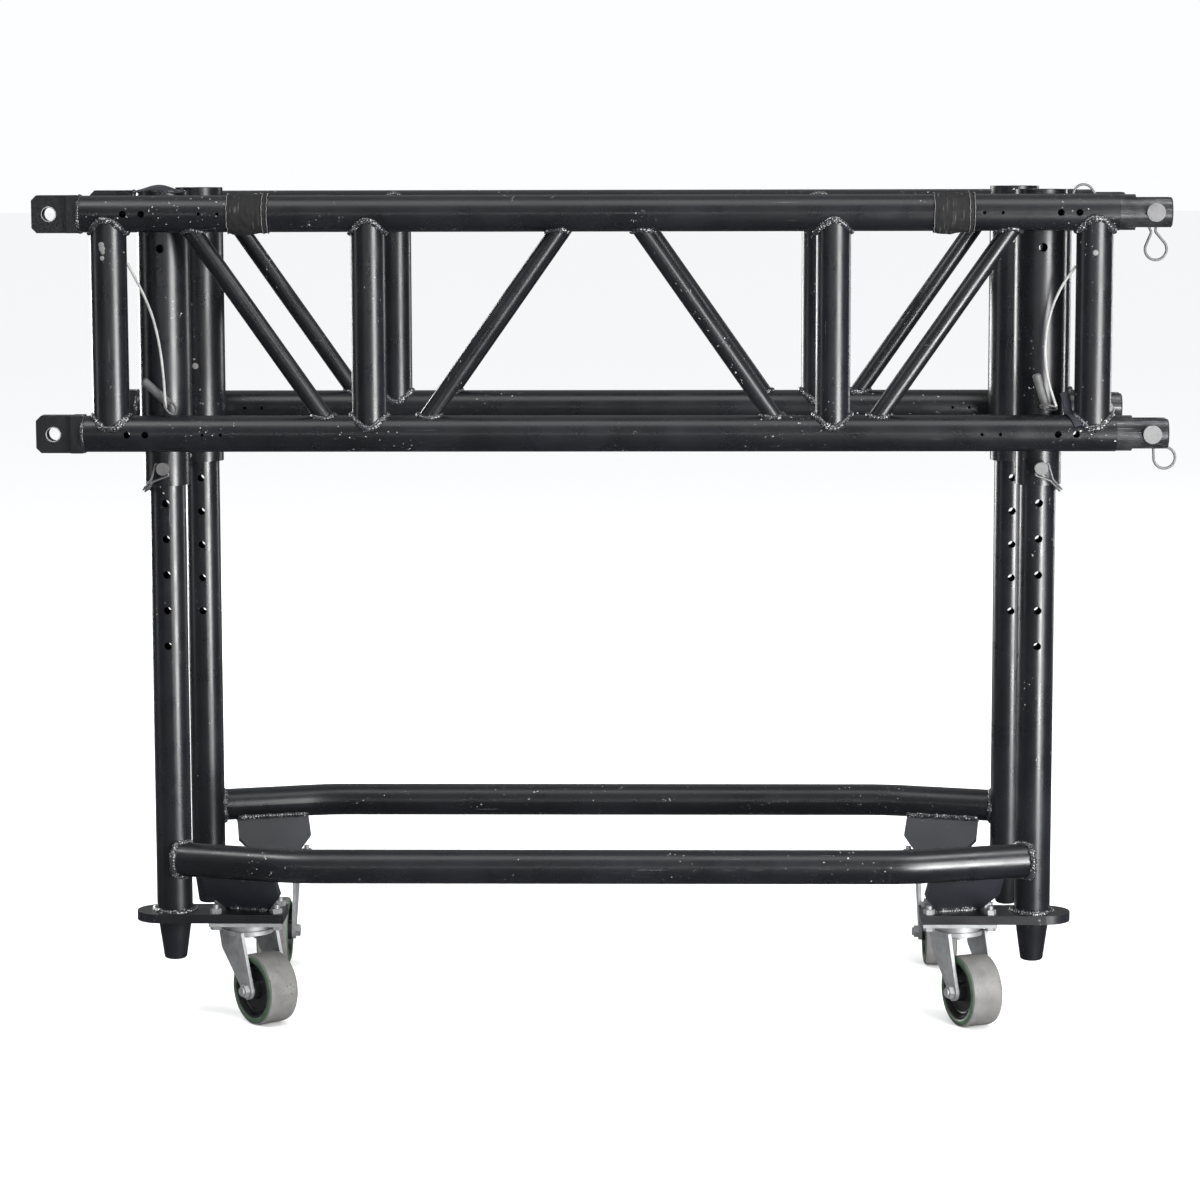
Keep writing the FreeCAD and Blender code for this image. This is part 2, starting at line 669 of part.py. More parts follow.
def build_cone_feet(side):
    """Tapered stacking feet under the legs."""
    feet = []
    for hand_name, hand in HANDS.items():
        name = f"{side}_{hand_name}_cone"
        low = "-cone_height"
        cone = turned(name, [
            ("0", "0"), ("cone_top_radius", "0"), ("cone_low_radius + cone_edge / 4", f"{low} + cone_edge"),
            ("cone_low_radius - cone_edge / 3", f"{low} + cone_edge / 4"),
            ("cone_low_radius - cone_edge", low), ("0", low),
        ])
        place(cone, f"middle_x + {hand} * leg_x", f"{SIDES[side]} * {LEG_Y}", "caster_height")
        feet.append(cone)
    node(compound(f"{side}_cones_all", feet), f"{side}_cone_feet")


def build_caster_tops(side):
    """Caster top plates with their ball races and king pins."""
    sign = SIDES[side]
    tops = []
    for hand_name, hand in HANDS.items():
        name = f"{side}_{hand_name}_caster_top"
        x, y = f"middle_x + {hand} * caster_x", f"{sign} * {LEG_Y}"
        low = "caster_height - caster_plate_thickness"
        flat = box(name + "_flat", "caster_plate_length", "caster_plate_width", "caster_plate_thickness",
                   f"{x} - caster_plate_length / 2", f"{y} - caster_plate_width / 2", low)
        race = cylinder(name + "_race", "race_radius", "race_height", x, y, f"{low} - race_height")
        pin_length = "race_height + running_gap * 2 + crown_thickness + nut_height"
        pin = cylinder(name + "_king_pin", "king_pin_radius", pin_length, x, y, f"{low} - ({pin_length})")
        nut = cylinder(name + "_king_nut", "1.8 * king_pin_radius", "nut_height - 1", x, y, f"{low} - ({pin_length})")
        holes = [cylinder(name + "_bolt_hole", "bolt_hole_radius", "3 * caster_plate_thickness", hx, hy,
                          f"{low} - caster_plate_thickness") for hx, hy in caster_corners(sign, hand)]
        tops.append(cut(name, fuse(name + "_solid", [flat, race, pin, nut]), holes))
    node(compound(f"{side}_caster_tops_all", tops), f"{side}_caster_tops")


def build_caster_bolts(side):
    """Bolts with a head under each caster top plate and a nut on the plate above."""
    bolts = []
    for hand_name, hand in HANDS.items():
        for x, y in caster_corners(SIDES[side], hand):
            name = f"{side}_{hand_name}_bolt"
            low = "caster_height - caster_plate_thickness"
            head = doc.addObject("Part::Prism", name + "_head")
            nut = doc.addObject("Part::Prism", name + "_nut")
            for hexagon, z in ((head, f"{low} - nut_height + 1"), (nut, PLATE_TOP)):
                hexagon.Polygon = 6
                bind(hexagon, Circumradius="nut_radius", Height="nut_height - 1" if hexagon is head else "nut_height")
                place(hexagon, x, y, z)
            stud = cylinder(name + "_stud", "bolt_radius",
                            "caster_plate_thickness + plate_thickness + nut_height + bolt_tail", x, y, low)
            bolts.append(fuse(name, [head, nut, stud]))
    node(compound(f"{side}_bolts_all", bolts), f"{side}_caster_bolts")


for side_name in SIDES:
    build_legs(side_name)
    outside_rail = build_rail(side_name)
    doc.recompute()
    build_gussets(side_name, outside_rail)
    build_caster_plates(side_name)
    build_cone_feet(side_name)
    build_caster_tops(side_name)
    build_caster_bolts(side_name)


# ---------------------------------------------------------------- casters

def swivel_placement(side, hand_name):
    """Placement of a caster's own frame: origin on the floor under its king pin, +X towards its trail."""
    x = number(f"middle_x + {HANDS[hand_name]} * caster_x")
    y = number(f"{SIDES[side]} * {LEG_Y}")
    turn = FreeCAD.Rotation(Z_AXIS, SWIVEL_DEGREES[f"{side}_{hand_name}"])
    return FreeCAD.Placement(FreeCAD.Vector(x, y, 0), turn)


def build_yoke(side, hand_name):
    """Swivelling fork of one caster, with its axle bolt and nut."""
    name = f"{side}_{hand_name}_yoke"
    crown_top = "caster_height - caster_plate_thickness - race_height - running_gap"
    crown = cylinder(name + "_crown", "crown_radius", "crown_thickness", z=f"{crown_top} - crown_thickness")
    pieces = [crown]
    for cheek_side in (-1, 1):
        cheek_y = f"{cheek_side} * (yoke_gap + cheek_thickness / 2)"
        cheek = plate(f"{name}_cheek", "cheek_thickness", [
            ("-cheek_half_width + 8", f"{crown_top} - crown_thickness - 22"), ("trail - axle_boss_radius", "wheel_radius"),
            ("trail + axle_boss_radius", "wheel_radius"), ("cheek_half_width + 8", f"{crown_top} - 26"),
            ("cheek_half_width", crown_top), ("-cheek_half_width", crown_top),
        ])
        place(cheek, "0", cheek_y, "0")
        boss = cylinder(f"{name}_boss", "axle_boss_radius", "cheek_thickness", "trail",
                        f"{cheek_y} - cheek_thickness / 2", "wheel_radius", Y_AXIS)
        pieces += [cheek, boss]
    king_hole = cylinder(name + "_king_hole", "king_hole_radius", "4 * crown_thickness",
                         z=f"{crown_top} - 2 * crown_thickness")
    axle_hole = cylinder(name + "_axle_hole", "axle_radius", "4 * yoke_gap", "trail", "-2 * yoke_gap",
                         "wheel_radius", Y_AXIS)
    yoke = cut(name + "_frame", fuse(name + "_solid", pieces), [king_hole, axle_hole])
    shaft = cylinder(name + "_shaft", "axle_radius", "2 * (yoke_gap + cheek_thickness + axle_head_length) + 3",
                     "trail", "-(yoke_gap + cheek_thickness + axle_head_length) - 3", "wheel_radius", Y_AXIS)
    ends = []
    for y in ("-(yoke_gap + cheek_thickness + axle_head_length)", "yoke_gap + cheek_thickness"):
        hexagon = doc.addObject("Part::Prism", name + "_axle_end")
        hexagon.Polygon = 6
        bind(hexagon, Circumradius="axle_head_radius", Height="axle_head_length")
        ends.append(place(hexagon, "trail", y, "wheel_radius", facing(Y_AXIS)))
    axle = fuse(name + "_axle", [shaft, *ends])
    group = compound(name, [yoke, axle])
    group.Placement = swivel_placement(side, hand_name)
    node(group, f"{side}_{hand_name}_caster_yoke")


def build_wheel(side, hand_name):
    """Moulded wheel core and the tread bonded round it."""
    name = f"{side}_{hand_name}_wheel"
    half, edge = "wheel_half_width", "tread_edge"
    inner = "wheel_radius - tread_thickness"
    tread = turned(name + "_tread", [
        (inner, f"-{half}"), (f"wheel_radius - {edge}", f"-{half}"), ("wheel_radius - 1", f"1.5 - {half}"),
        ("wheel_radius", f"{edge} - {half}"), ("wheel_radius", f"{half} - {edge}"),
        ("wheel_radius - 1", f"{half} - 1.5"), (f"wheel_radius - {edge}", half), (inner, half),
    ])
    rim = f"{inner} - seat_gap"
    core = turned(name + "_core", [
        ("hub_bore", "-hub_half_width"), ("hub_radius", "-hub_half_width"), ("hub_radius", f"web_recess - {half}"),
        (f"{rim} - 6", f"web_recess - {half}"), (f"{rim} - 4", f"0.5 - {half}"), (rim, f"0.5 - {half}"),
        (rim, f"{half} - 0.5"), (f"{rim} - 4", f"{half} - 0.5"), (f"{rim} - 6", f"{half} - web_recess"),
        ("hub_radius", f"{half} - web_recess"), ("hub_radius", "hub_half_width"), ("hub_bore", "hub_half_width"),
    ])
    axle = FreeCAD.Placement(FreeCAD.Vector(size("trail"), 0, size("wheel_radius")), facing(Y_AXIS))
    for body, label in ((tread, "tread"), (core, "core")):
        body.Placement = swivel_placement(side, hand_name).multiply(axle)
        node(body, f"{side}_{hand_name}_wheel_{label}")


for side_name, hand_name in CORNERS:
    build_yoke(side_name, hand_name)
    build_wheel(side_name, hand_name)


# ---------------------------------------------------------------- lock pins and bails

BAIL_ALONG = FreeCAD.Vector(0.68, 0, -0.733)   # outward and down, for a right-hand leg


def build_lock_pin(side, hand_name):
    """Pull pin in a collar's lock hole, drawn out just clear of the leg."""
    name = f"{side}_{hand_name}_lock_pin"
    sign, hand = SIDES[side], HANDS[hand_name]
    x, z = f"middle_x + {hand} * leg_x", "top_chord_height - lock_drop"
    y = f"{sign} * {LEG_Y}"
    nose = f"{y} + {sign} * (collar_bore + lock_nose_gap)"
    head_y = f"{y} + {sign} * (collar_radius + lock_travel + lock_nose_gap)"
    shank = cylinder(name + "_shank", "lock_pin_radius", "collar_radius - collar_bore + lock_travel + 1",
                     x, nose, z, Y_AXIS * sign)
    head = cylinder(name + "_head", "lock_head_radius", "lock_head_length", x, head_y, z, Y_AXIS * sign)
    along = FreeCAD.Vector(BAIL_ALONG.x * hand, 0, BAIL_ALONG.z)
    across = along.cross(Y_AXIS)
    hinge = FreeCAD.Vector(number(x), number(f"{head_y} + {sign} * lock_head_length / 2"), number(z))
    start = hinge - across * 2 * size("lock_head_radius")
    eye = cylinder(name + "_eye", "bail_hole_radius", "4 * lock_head_radius", start.x, start.y, start.z, across)
    node(cut(name, fuse(name + "_solid", [shank, head]), [eye]), name)
    build_bail(side, hand_name, hinge, along, across)


def build_bail(side, hand_name, hinge, along, across):
    """Wire bail of a lock pin: two legs from the pin's head that close up and reach round the leg."""
    name = f"{side}_{hand_name}_lock_bail"
    inward = Y_AXIS * -SIDES[side]
    wire, head = size("bail_wire_radius"), size("lock_head_radius")
    close = 1.3 * wire
    # Distance along the bail, depth inward from the hinge, and half the gap between the legs.
    half = [(0, 0, 0.35 * head, 0), (0, 0, head + 2.8 * wire, 1.6 * wire), (23, 4, close, 5), (33, 8, close, 6),
            (44, 20, close, 9), (44, 74, close, 9), (33, 86, close, 8), (18, 90, close, close * 0.98)]
    legs = [[hinge + along * a + inward * b + across * c * hand for a, b, c, bend in half] for hand in (1, -1)]
    bends = [bend for a, b, c, bend in half]
    path = rounded_path(legs[0] + legs[1][::-1], bends + bends[::-1])
    node(wire_solid(name, path, wire), name)


for side_name, hand_name in CORNERS:
    build_lock_pin(side_name, hand_name)


# ---------------------------------------------------------------- stored pins on lanyards

# A coated wire hangs from each end post of the front ladder and holds a spare quick pin.
# Points are offsets from the middle of the truss along X, from the front ladder's plane towards
# the rear, and from the top chord's centre down.
LANYARD_ROUTES = {
    "left": [(-656.5, 2, 68), (-647.5, 5, 86), (-637, 9, 108), (-626.5, 12, 134), (-619, 13, 162),
             (-613.5, 12, 192), (-610, 8, 222), (-607.5, 2, 248), (-605.5, -5, 270)],
    "right": [(656.5, 2, 74), (645, 5, 90), (635, 9, 108), (625.5, 12, 131), (619, 13, 158),
              (616.5, 12, 188), (618, 9, 216), (623.5, 5, 244), (632, 0, 268)],
}
STORED_PINS = {
    "left": ((-638, 17, 233), (-603, 13, 264)),
    "right": ((606, 17, 226), (620, 14.5, 271)),
}
STORED_RINGS = {
    "left": ((-600, 2, 268), (0.75, -0.45, 0.5)),
    "right": ((622, 8, 270), (0.15, 0.35, 0.93)),
}


def ladder_point(along, depth, drop):
    """Point given from the middle of the front ladder's top chord."""
    return FreeCAD.Vector(size("middle_x") + along, depth - size("truss_half_depth"), size("top_chord_height") - drop)


def build_lanyard(hand_name):
    """Hanging wire: straight runs joined by the largest arcs that fit."""
    points = [ladder_point(*point) for point in LANYARD_ROUTES[hand_name]]
    radii = [0.0] * len(points)
    for i in range(1, len(points) - 1):
        before, after = points[i] - points[i - 1], points[i + 1] - points[i]
        half_turn = before.getAngle(after) / 2
        radii[i] = 0.45 * min(before.Length, after.Length) / math.tan(half_turn)
    path = rounded_path(points, radii)
    wire = size("lanyard_radius")
    lanyard = wire_solid(f"{hand_name}_lanyard_wire", path, wire)
    expected = math.pi * wire ** 2 * path.Length
    print(f"{hand_name} lanyard: {path.Length:.1f} mm, tightest arc {min(r for r in radii if r):.1f} mm,"
          f" volume {lanyard.Shape.Volume / expected:.4f} of its section times its length")
    node(lanyard, f"{hand_name}_lanyard")


def build_stored_pin(hand_name):
    """Spare quick pin with a rounded nose and a split ring."""
    name = f"{hand_name}_stored_pin"
    top, low = (ladder_point(*point) for point in STORED_PINS[hand_name])
    centre, facing_way = STORED_RINGS[hand_name]
    turn = facing(low - top)
    shank = doc.addObject("Part::Cylinder", name + "_shank")
    bind(shank, Radius="stored_pin_radius")
    shank.Height = (low - top).Length
    shank.Placement = FreeCAD.Placement(top, turn)
    nose = doc.addObject("Part::Cone", name + "_nose")
    bind(nose, Radius1="0.6 * stored_pin_radius", Radius2="stored_pin_radius", Height="0.4 * stored_pin_radius")
    nose.Placement = FreeCAD.Placement(top - (low - top).normalize() * 0.4 * size("stored_pin_radius"), turn)
    ring = doc.addObject("Part::Torus", name + "_ring")
    bind(ring, Radius1="stored_ring_radius", Radius2="stored_wire_radius")
    ring.Placement = FreeCAD.Placement(ladder_point(*centre), facing(FreeCAD.Vector(*facing_way)))
    node(fuse(name, [shank, nose, ring]), name)


for hand_name in HANDS:
    build_lanyard(hand_name)
    build_stored_pin(hand_name)


# ---------------------------------------------------------------- checks and files

doc.recompute()
failed = [item.Name for item in doc.Objects if {"Invalid", "Error"} & set(item.State)]
for item in nodes:
    if item.Shape.isNull() or not item.Shape.isValid():
        failed.append(item.Label)
if failed:
    raise RuntimeError(f"not built: {failed}")
if len({item.Label for item in nodes}) != len(nodes):
    raise RuntimeError("two sub-parts share a name")

os.makedirs("parts", exist_ok=True)
whole = FreeCAD.BoundBox()
for item in nodes:
    item.Shape.exportStep(f"parts/{item.Label}.step")
    whole.add(item.Shape.optimalBoundingBox(False))
print(f"{len(nodes)} nodes, x {whole.XMin:.2f} to {whole.XMax:.2f}, y {whole.YMin:.2f} to {whole.YMax:.2f},"
      f" z {whole.ZMin:.2f} to {whole.ZMax:.2f}")
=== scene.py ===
import json
import math

import bmesh
import bpy
from mathutils import Matrix, Vector, noise


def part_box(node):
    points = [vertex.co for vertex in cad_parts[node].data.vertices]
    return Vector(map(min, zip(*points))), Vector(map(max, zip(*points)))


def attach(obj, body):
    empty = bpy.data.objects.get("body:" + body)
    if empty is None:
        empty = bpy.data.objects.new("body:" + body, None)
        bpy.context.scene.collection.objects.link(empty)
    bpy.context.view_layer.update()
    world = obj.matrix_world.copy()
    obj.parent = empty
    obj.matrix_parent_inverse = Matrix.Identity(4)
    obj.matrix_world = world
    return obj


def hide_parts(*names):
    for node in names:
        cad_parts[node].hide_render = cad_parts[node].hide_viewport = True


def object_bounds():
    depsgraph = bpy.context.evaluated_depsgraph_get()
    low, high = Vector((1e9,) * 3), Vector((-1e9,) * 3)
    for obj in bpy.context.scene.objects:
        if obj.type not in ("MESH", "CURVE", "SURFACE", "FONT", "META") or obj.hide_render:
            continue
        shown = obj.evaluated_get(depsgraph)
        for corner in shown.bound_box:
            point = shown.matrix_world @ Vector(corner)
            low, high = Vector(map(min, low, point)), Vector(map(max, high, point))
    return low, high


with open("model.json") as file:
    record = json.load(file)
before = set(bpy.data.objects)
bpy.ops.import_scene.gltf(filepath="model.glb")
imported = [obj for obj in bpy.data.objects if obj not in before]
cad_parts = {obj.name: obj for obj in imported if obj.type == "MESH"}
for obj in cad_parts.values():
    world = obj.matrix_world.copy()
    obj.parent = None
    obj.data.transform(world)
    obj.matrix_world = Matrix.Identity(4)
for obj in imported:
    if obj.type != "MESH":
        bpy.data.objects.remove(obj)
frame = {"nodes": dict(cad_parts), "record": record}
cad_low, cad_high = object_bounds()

# A black truss section on two wheeled leg frames. Lengths are in metres, in the CAD's frame.
# X runs along the truss, -Y is the side nearest the camera and the floor is Z = 0.

FRONT, REAR = -1, 1
SIDES = {"front": FRONT, "rear": REAR}
HANDS = {"left": -1, "right": 1}
LEVELS = {"top": 1.152, "bottom": 0.8472}
HALF_LENGTH, HALF_DEPTH, CHORD_SPACING = 0.720, 0.254, 0.3048
MIDDLE_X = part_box("front_top_chord")[0].x + HALF_LENGTH
CHORD_RADIUS = 0.0254

# Distances along X are measured from the truss's middle.
POSTS = ((0.682, 0.0254), (0.322, 0.02415))     # distance, tube radius
BRACES = ((0.582, 0.369), (0.041, 0.256))       # distance at the top chord, at the bottom chord
BRACE_RADIUS = 0.0127
CROSS_TUBES = (-0.672, -0.322, 0.322, 0.672)
BLADE_HOLE_X, BLADE_ROOT_X, BLADE_FACE = 0.762, 0.7205, 0.0126
TAPE_X, TAPE_WIDTH = 0.487, 0.056
LEG_X, LEG_Y, LEG_WELD_RADIUS, SOCKET_RADIUS = 0.614, 0.192, 0.0268, 0.0365
PLATE_TOP = 0.1577
RAIL_Z, RAIL_RADIUS = 0.2345, 0.02415
RAIL_END, RAIL_BEND = Vector((0.604, 0.210)), Vector((0.432, 0.2605))
GUSSET_X, GUSSET_Y, GUSSET_LEAN = 0.5085, 0.190, math.radians(31.5)
CASTER_X = 0.509
SWIVEL_DEGREES = {"front_left": -50.0, "front_right": -66.0,
                  "rear_left": -90.0, "rear_right": -90.0}
TRAIL, WHEEL_RADIUS = 0.042, 0.0508


# ---------------------------------------------------------------- camera

CAMERA_PLACE = (MIDDLE_X + 0.089, -5.196, 1.2484)
CAMERA_TURN, CAMERA_DOWN, CAMERA_ROLL = 1.05, 7.32, -0.13     # degrees
CAMERA_LENS, CAMERA_SENSOR = 106.8, 36.0                      # millimetres


def make_camera():
    data = bpy.data.cameras.new("camera")
    data.sensor_width = CAMERA_SENSOR
    data.lens = CAMERA_LENS
    camera = bpy.data.objects.new("camera", data)
    bpy.context.scene.collection.objects.link(camera)
    turn = Matrix.Rotation(math.radians(CAMERA_TURN), 3, "Z")
    tip = Matrix.Rotation(math.radians(90.0 - CAMERA_DOWN), 3, "X")
    roll = Matrix.Rotation(math.radians(CAMERA_ROLL), 3, "Z")
    camera.matrix_world = Matrix.Translation(CAMERA_PLACE) @ (turn @ tip @ roll).to_4x4()
    bpy.context.scene.camera = camera


make_camera()


# ---------------------------------------------------------------- node helpers

class Nodes:
    """Short way to wire a material."""

    def __init__(self, name):
        self.material = bpy.data.materials.new(name)
        self.material.use_nodes = True
        self.tree = self.material.node_tree
        self.shader = self.tree.nodes["Principled BSDF"]
        self.place = self.new("ShaderNodeTexCoord").outputs["Object"]

    def new(self, kind, **settings):
        node = self.tree.nodes.new(kind)
        for key, value in settings.items():
            setattr(node, key, value)
        return node

    def link(self, source, target):
        self.tree.links.new(source, target)

    def stretch(self, scale):
        mapping = self.new("ShaderNodeMapping")
        mapping.inputs["Scale"].default_value = scale
        self.link(self.place, mapping.inputs["Vector"])
        return mapping.outputs["Vector"]

    def noise(self, scale, detail=4.0, rough=0.55, stretch=None):
        node = self.new("ShaderNodeTexNoise")
        node.inputs["Scale"].default_value = scale
        node.inputs["Detail"].default_value = detail
        node.inputs["Roughness"].default_value = rough
        self.link(self.stretch(stretch) if stretch else self.place, node.inputs["Vector"])
        return node.outputs["Fac"]

    def ramp(self, source, low, high, first=0.0, last=1.0):
        """Maps low..high to first..last, clamped."""
        node = self.new("ShaderNodeMapRange", clamp=True)
        limits = {"From Min": low, "From Max": high, "To Min": first, "To Max": last}
        for key, value in limits.items():
            node.inputs[key].default_value = value
        self.link(source, node.inputs["Value"])
        return node.outputs["Result"]

    def math(self, operation, a, b):
        node = self.new("ShaderNodeMath", operation=operation)
        for socket, value in zip(node.inputs, (a, b)):
            if isinstance(value, (int, float)):
                socket.default_value = value
            else:
                self.link(value, socket)
        return node.outputs["Value"]

    def mix(self, factor, a, b):
        node = self.new("ShaderNodeMix", data_type="RGBA")
        self.link(factor, node.inputs["Factor"])
        for key, value in ((6, a), (7, b)):
            if isinstance(value, tuple):
                node.inputs[key].default_value = (*value, 1.0)
            else:
                self.link(value, node.inputs[key])
        return node.outputs[2]

    def bump(self, height, distance, strength=1.0, under=None):
        node = self.new("ShaderNodeBump")
        node.inputs["Distance"].default_value = distance
        node.inputs["Strength"].default_value = strength
        self.link(height, node.inputs["Height"])
        if under:
            self.link(under, node.inputs["Normal"])
        return node.outputs["Normal"]

    def finish(self, colour=None, roughness=None, normal=None, **constants):
        for key, value in (("Base Color", colour), ("Roughness", roughness), ("Normal", normal)):
            if value is not None:
                self.link(value, self.shader.inputs[key])
        for key, value in constants.items():
            self.shader.inputs[key.replace("_", " ")].default_value = value
        return self.material


# ---------------------------------------------------------------- materials

def black_paint(name, grain, tint=(0.0030, 0.0032, 0.0042), wear=0.5, gloss=0.24):
    """Semi-gloss black paint, dusty in patches, scratched along the grain and chipped to grey."""
    n = Nodes(name)
    patches = n.noise(7.0, 5.0)
    dust = n.ramp(patches, 0.42, 0.72)
    light = tuple(value * 2.1 for value in tint)
    colour = n.mix(dust, tint, light)
    streaks = n.noise(1.0, 6.0, 0.7, grain)
    scratches = n.math("MULTIPLY", n.ramp(streaks, 0.665, 0.70),
                       n.ramp(n.noise(11.0, 3.0), 0.52, 0.60))
    colour = n.mix(scratches, colour, (0.12, 0.12, 0.125))
    more = 0.03 * wear
    specks = n.math("MULTIPLY", n.ramp(n.noise(210.0, 3.0, 0.6), 0.70 - more, 0.73 - more),
                    n.ramp(n.noise(9.0, 2.0), 0.53, 0.62))
    colour = n.mix(specks, colour, (0.34, 0.34, 0.33))
    worn = n.math("MAXIMUM", scratches, specks)
    rough = n.math("ADD", n.ramp(n.noise(26.0, 5.0), 0.3, 0.75, gloss, gloss + 0.13),
                   n.math("MULTIPLY", worn, 0.22))
    peel = n.bump(n.noise(620.0, 2.0), 0.00005, 0.35)
    normal = n.bump(n.math("SUBTRACT", 1.0, worn), 0.00012, 0.6, peel)
    return n.finish(colour, rough, normal, Specular_IOR_Level=0.42)


def weld_paint():
    """Black paint over rough weld metal: glossy ripples with many bare bright points."""
    n = Nodes("black_paint_weld")
    lumps = n.noise(340.0, 4.0, 0.6)
    points = n.math("MULTIPLY", n.ramp(n.noise(520.0, 2.0), 0.60, 0.66),
                    n.ramp(n.noise(60.0, 3.0), 0.46, 0.58))
    colour = n.mix(n.ramp(lumps, 0.35, 0.7), (0.006, 0.0063, 0.0075), (0.022, 0.023, 0.027))
    colour = n.mix(points, colour, (0.42, 0.42, 0.42))
    roughness = n.ramp(lumps, 0.3, 0.7, 0.12, 0.30)
    return n.finish(colour, roughness, n.bump(lumps, 0.0006, 0.55), Specular_IOR_Level=0.55)


def bare_metal(name, tint, rough=(0.28, 0.5), metallic=0.6, cloud=9.0, dirt=(0.10, 0.095, 0.085)):
    """Plated or dull steel with cloudy tone and a little grime."""
    n = Nodes(name)
    clouds = n.noise(cloud * 6.0, 6.0, 0.62)
    low = tuple(value * 0.66 for value in tint)
    colour = n.mix(n.ramp(clouds, 0.32, 0.68), low, tint)
    grime = n.ramp(n.noise(cloud * 3.0, 5.0, 0.7), 0.58, 0.76, 0.0, 0.6)
    colour = n.mix(grime, colour, dirt)
    roughness = n.ramp(n.noise(cloud * 14.0, 5.0), 0.3, 0.7, *rough)
    normal = n.bump(n.noise(900.0, 3.0), 0.00005, 0.3)
    return n.finish(colour, roughness, normal, Metallic=metallic)


def drawn_metal(name):
    """Dark machined steel of the forks, brushed in long streaks along X that are painted light
    grey: partly brushing grain, partly a painted sheen.
    """
    n = Nodes(name)
    streaks = n.noise(1.0, 5.0, 0.6, (10.0, 330.0, 330.0))
    colour = n.mix(n.ramp(n.noise(30.0, 5.0), 0.35, 0.7),
                   (0.022, 0.023, 0.025), (0.07, 0.072, 0.075))
    # Light grey along the streaks: brushing grain, and a painted sheen standing in for streaked
    # highlights.
    colour = n.mix(n.ramp(streaks, 0.60, 0.68), colour, (0.30, 0.30, 0.30))
    return n.finish(colour, n.ramp(streaks, 0.3, 0.7, 0.18, 0.34),
                    n.bump(streaks, 0.00003, 0.35), Metallic=0.75)


def rubber_tread():
    """Warm grey moulded tread, scuffed and dusty."""
    n = Nodes("tread_rubber")
    colour = n.mix(n.ramp(n.noise(40.0, 6.0), 0.35, 0.7),
                   (0.074, 0.0725, 0.070), (0.108, 0.106, 0.103))
    marks = n.math("MULTIPLY", n.ramp(n.noise(150.0, 5.0, 0.7), 0.58, 0.66),
                   n.ramp(n.noise(22.0, 3.0), 0.5, 0.6))
    colour = n.mix(marks, colour, (0.045, 0.043, 0.041))
    rough = n.ramp(n.noise(60.0, 4.0), 0.3, 0.7, 0.48, 0.68)
    return n.finish(colour, rough, n.bump(n.noise(420.0, 4.0), 0.0002, 0.4),
                    Specular_IOR_Level=0.35)


def plain(name, tint, rough, scale=60.0, level=0.4):
    """Moulded or coated surface with a faint mottle."""
    n = Nodes(name)
    darker = tuple(value * 0.7 for value in tint)
    colour = n.mix(n.ramp(n.noise(scale, 5.0), 0.35, 0.68), darker, tint)
    roughness = n.ramp(n.noise(scale * 1.7, 4.0), 0.3, 0.7, *rough)
    return n.finish(colour, roughness, n.bump(n.noise(scale * 9.0, 3.0), 0.00008, 0.35),
                    Specular_IOR_Level=level)


def cloth(name, tint, worn, threads=1500.0):
    """Woven tape or webbing: crossed threads, with rubbed pale lines."""
    n = Nodes(name)
    weave = None
    for direction in ("X", "Z"):
        wave = n.new("ShaderNodeTexWave", bands_direction=direction)
        wave.inputs["Scale"].default_value = threads / 6.28
        wave.inputs["Distortion"].default_value = 0.6
        n.link(n.place, wave.inputs["Vector"])
        ridges = wave.outputs["Fac"]
        weave = ridges if weave is None else n.math("MULTIPLY", weave, ridges)
    rubbed = n.math("MULTIPLY", n.ramp(n.noise(1.0, 5.0, 0.6, (420.0, 30.0, 30.0)), 0.58, 0.68),
                    n.ramp(n.noise(55.0, 3.0), 0.45, 0.62))
    colour = n.mix(rubbed, tint, worn)
    return n.finish(colour, n.ramp(weave, 0.0, 1.0, 0.88, 0.70), n.bump(weave, 0.00012, 0.7),
                    Specular_IOR_Level=0.25)


ALONG_X, ALONG_Z = (3.0, 420.0, 420.0), (420.0, 420.0, 3.0)
PAINT_X = black_paint("black_paint_along", ALONG_X, wear=0.8)
PAINT_Z = black_paint("black_paint_upright", ALONG_Z)
PAINT_PLATE = black_paint("black_paint_plate", (60.0, 60.0, 60.0), wear=1.2, gloss=0.30)
PAINT_WELD = weld_paint()
PAINT_GUSSET = black_paint("black_paint_gusset", (14.0, 200.0, 200.0), (0.008, 0.0085, 0.011),
                           0.4, 0.30)
ZINC = bare_metal("zinc_plate", (0.27, 0.275, 0.28), (0.42, 0.62))
STORED_STEEL = bare_metal("stored_pin_steel", (0.075, 0.075, 0.076), (0.5, 0.7), 0.25, 14.0,
                          (0.03, 0.029, 0.027))
PIN_ZINC = bare_metal("pin_zinc", (0.112, 0.112, 0.114), (0.40, 0.60), 0.4, 14.0,
                      (0.05, 0.047, 0.043))
CHIP = bare_metal("bare_chip_grey", (0.115, 0.115, 0.11), (0.6, 0.8), 0.0)
DULL_STEEL = bare_metal("dull_grey_steel", (0.26, 0.265, 0.27), (0.4, 0.6))
FORK_METAL = drawn_metal("fork_metal")
TREAD = rubber_tread()
CORE = plain("wheel_core_black", (0.011, 0.011, 0.012), (0.25, 0.42))
GREEN = plain("wheel_band_green", (0.036, 0.068, 0.038), (0.45, 0.6))
WIRE = plain("coated_wire_grey", (0.24, 0.24, 0.235), (0.45, 0.6))
THREAD = plain("frayed_thread_grey", (0.10, 0.10, 0.097), (0.7, 0.85), 300.0)
TAPE = cloth("cloth_tape_black", (0.0055, 0.0055, 0.006), (0.055, 0.055, 0.053))
WEBBING = cloth("webbing_blue_grey", (0.013, 0.015, 0.020), (0.035, 0.038, 0.045), 900.0)

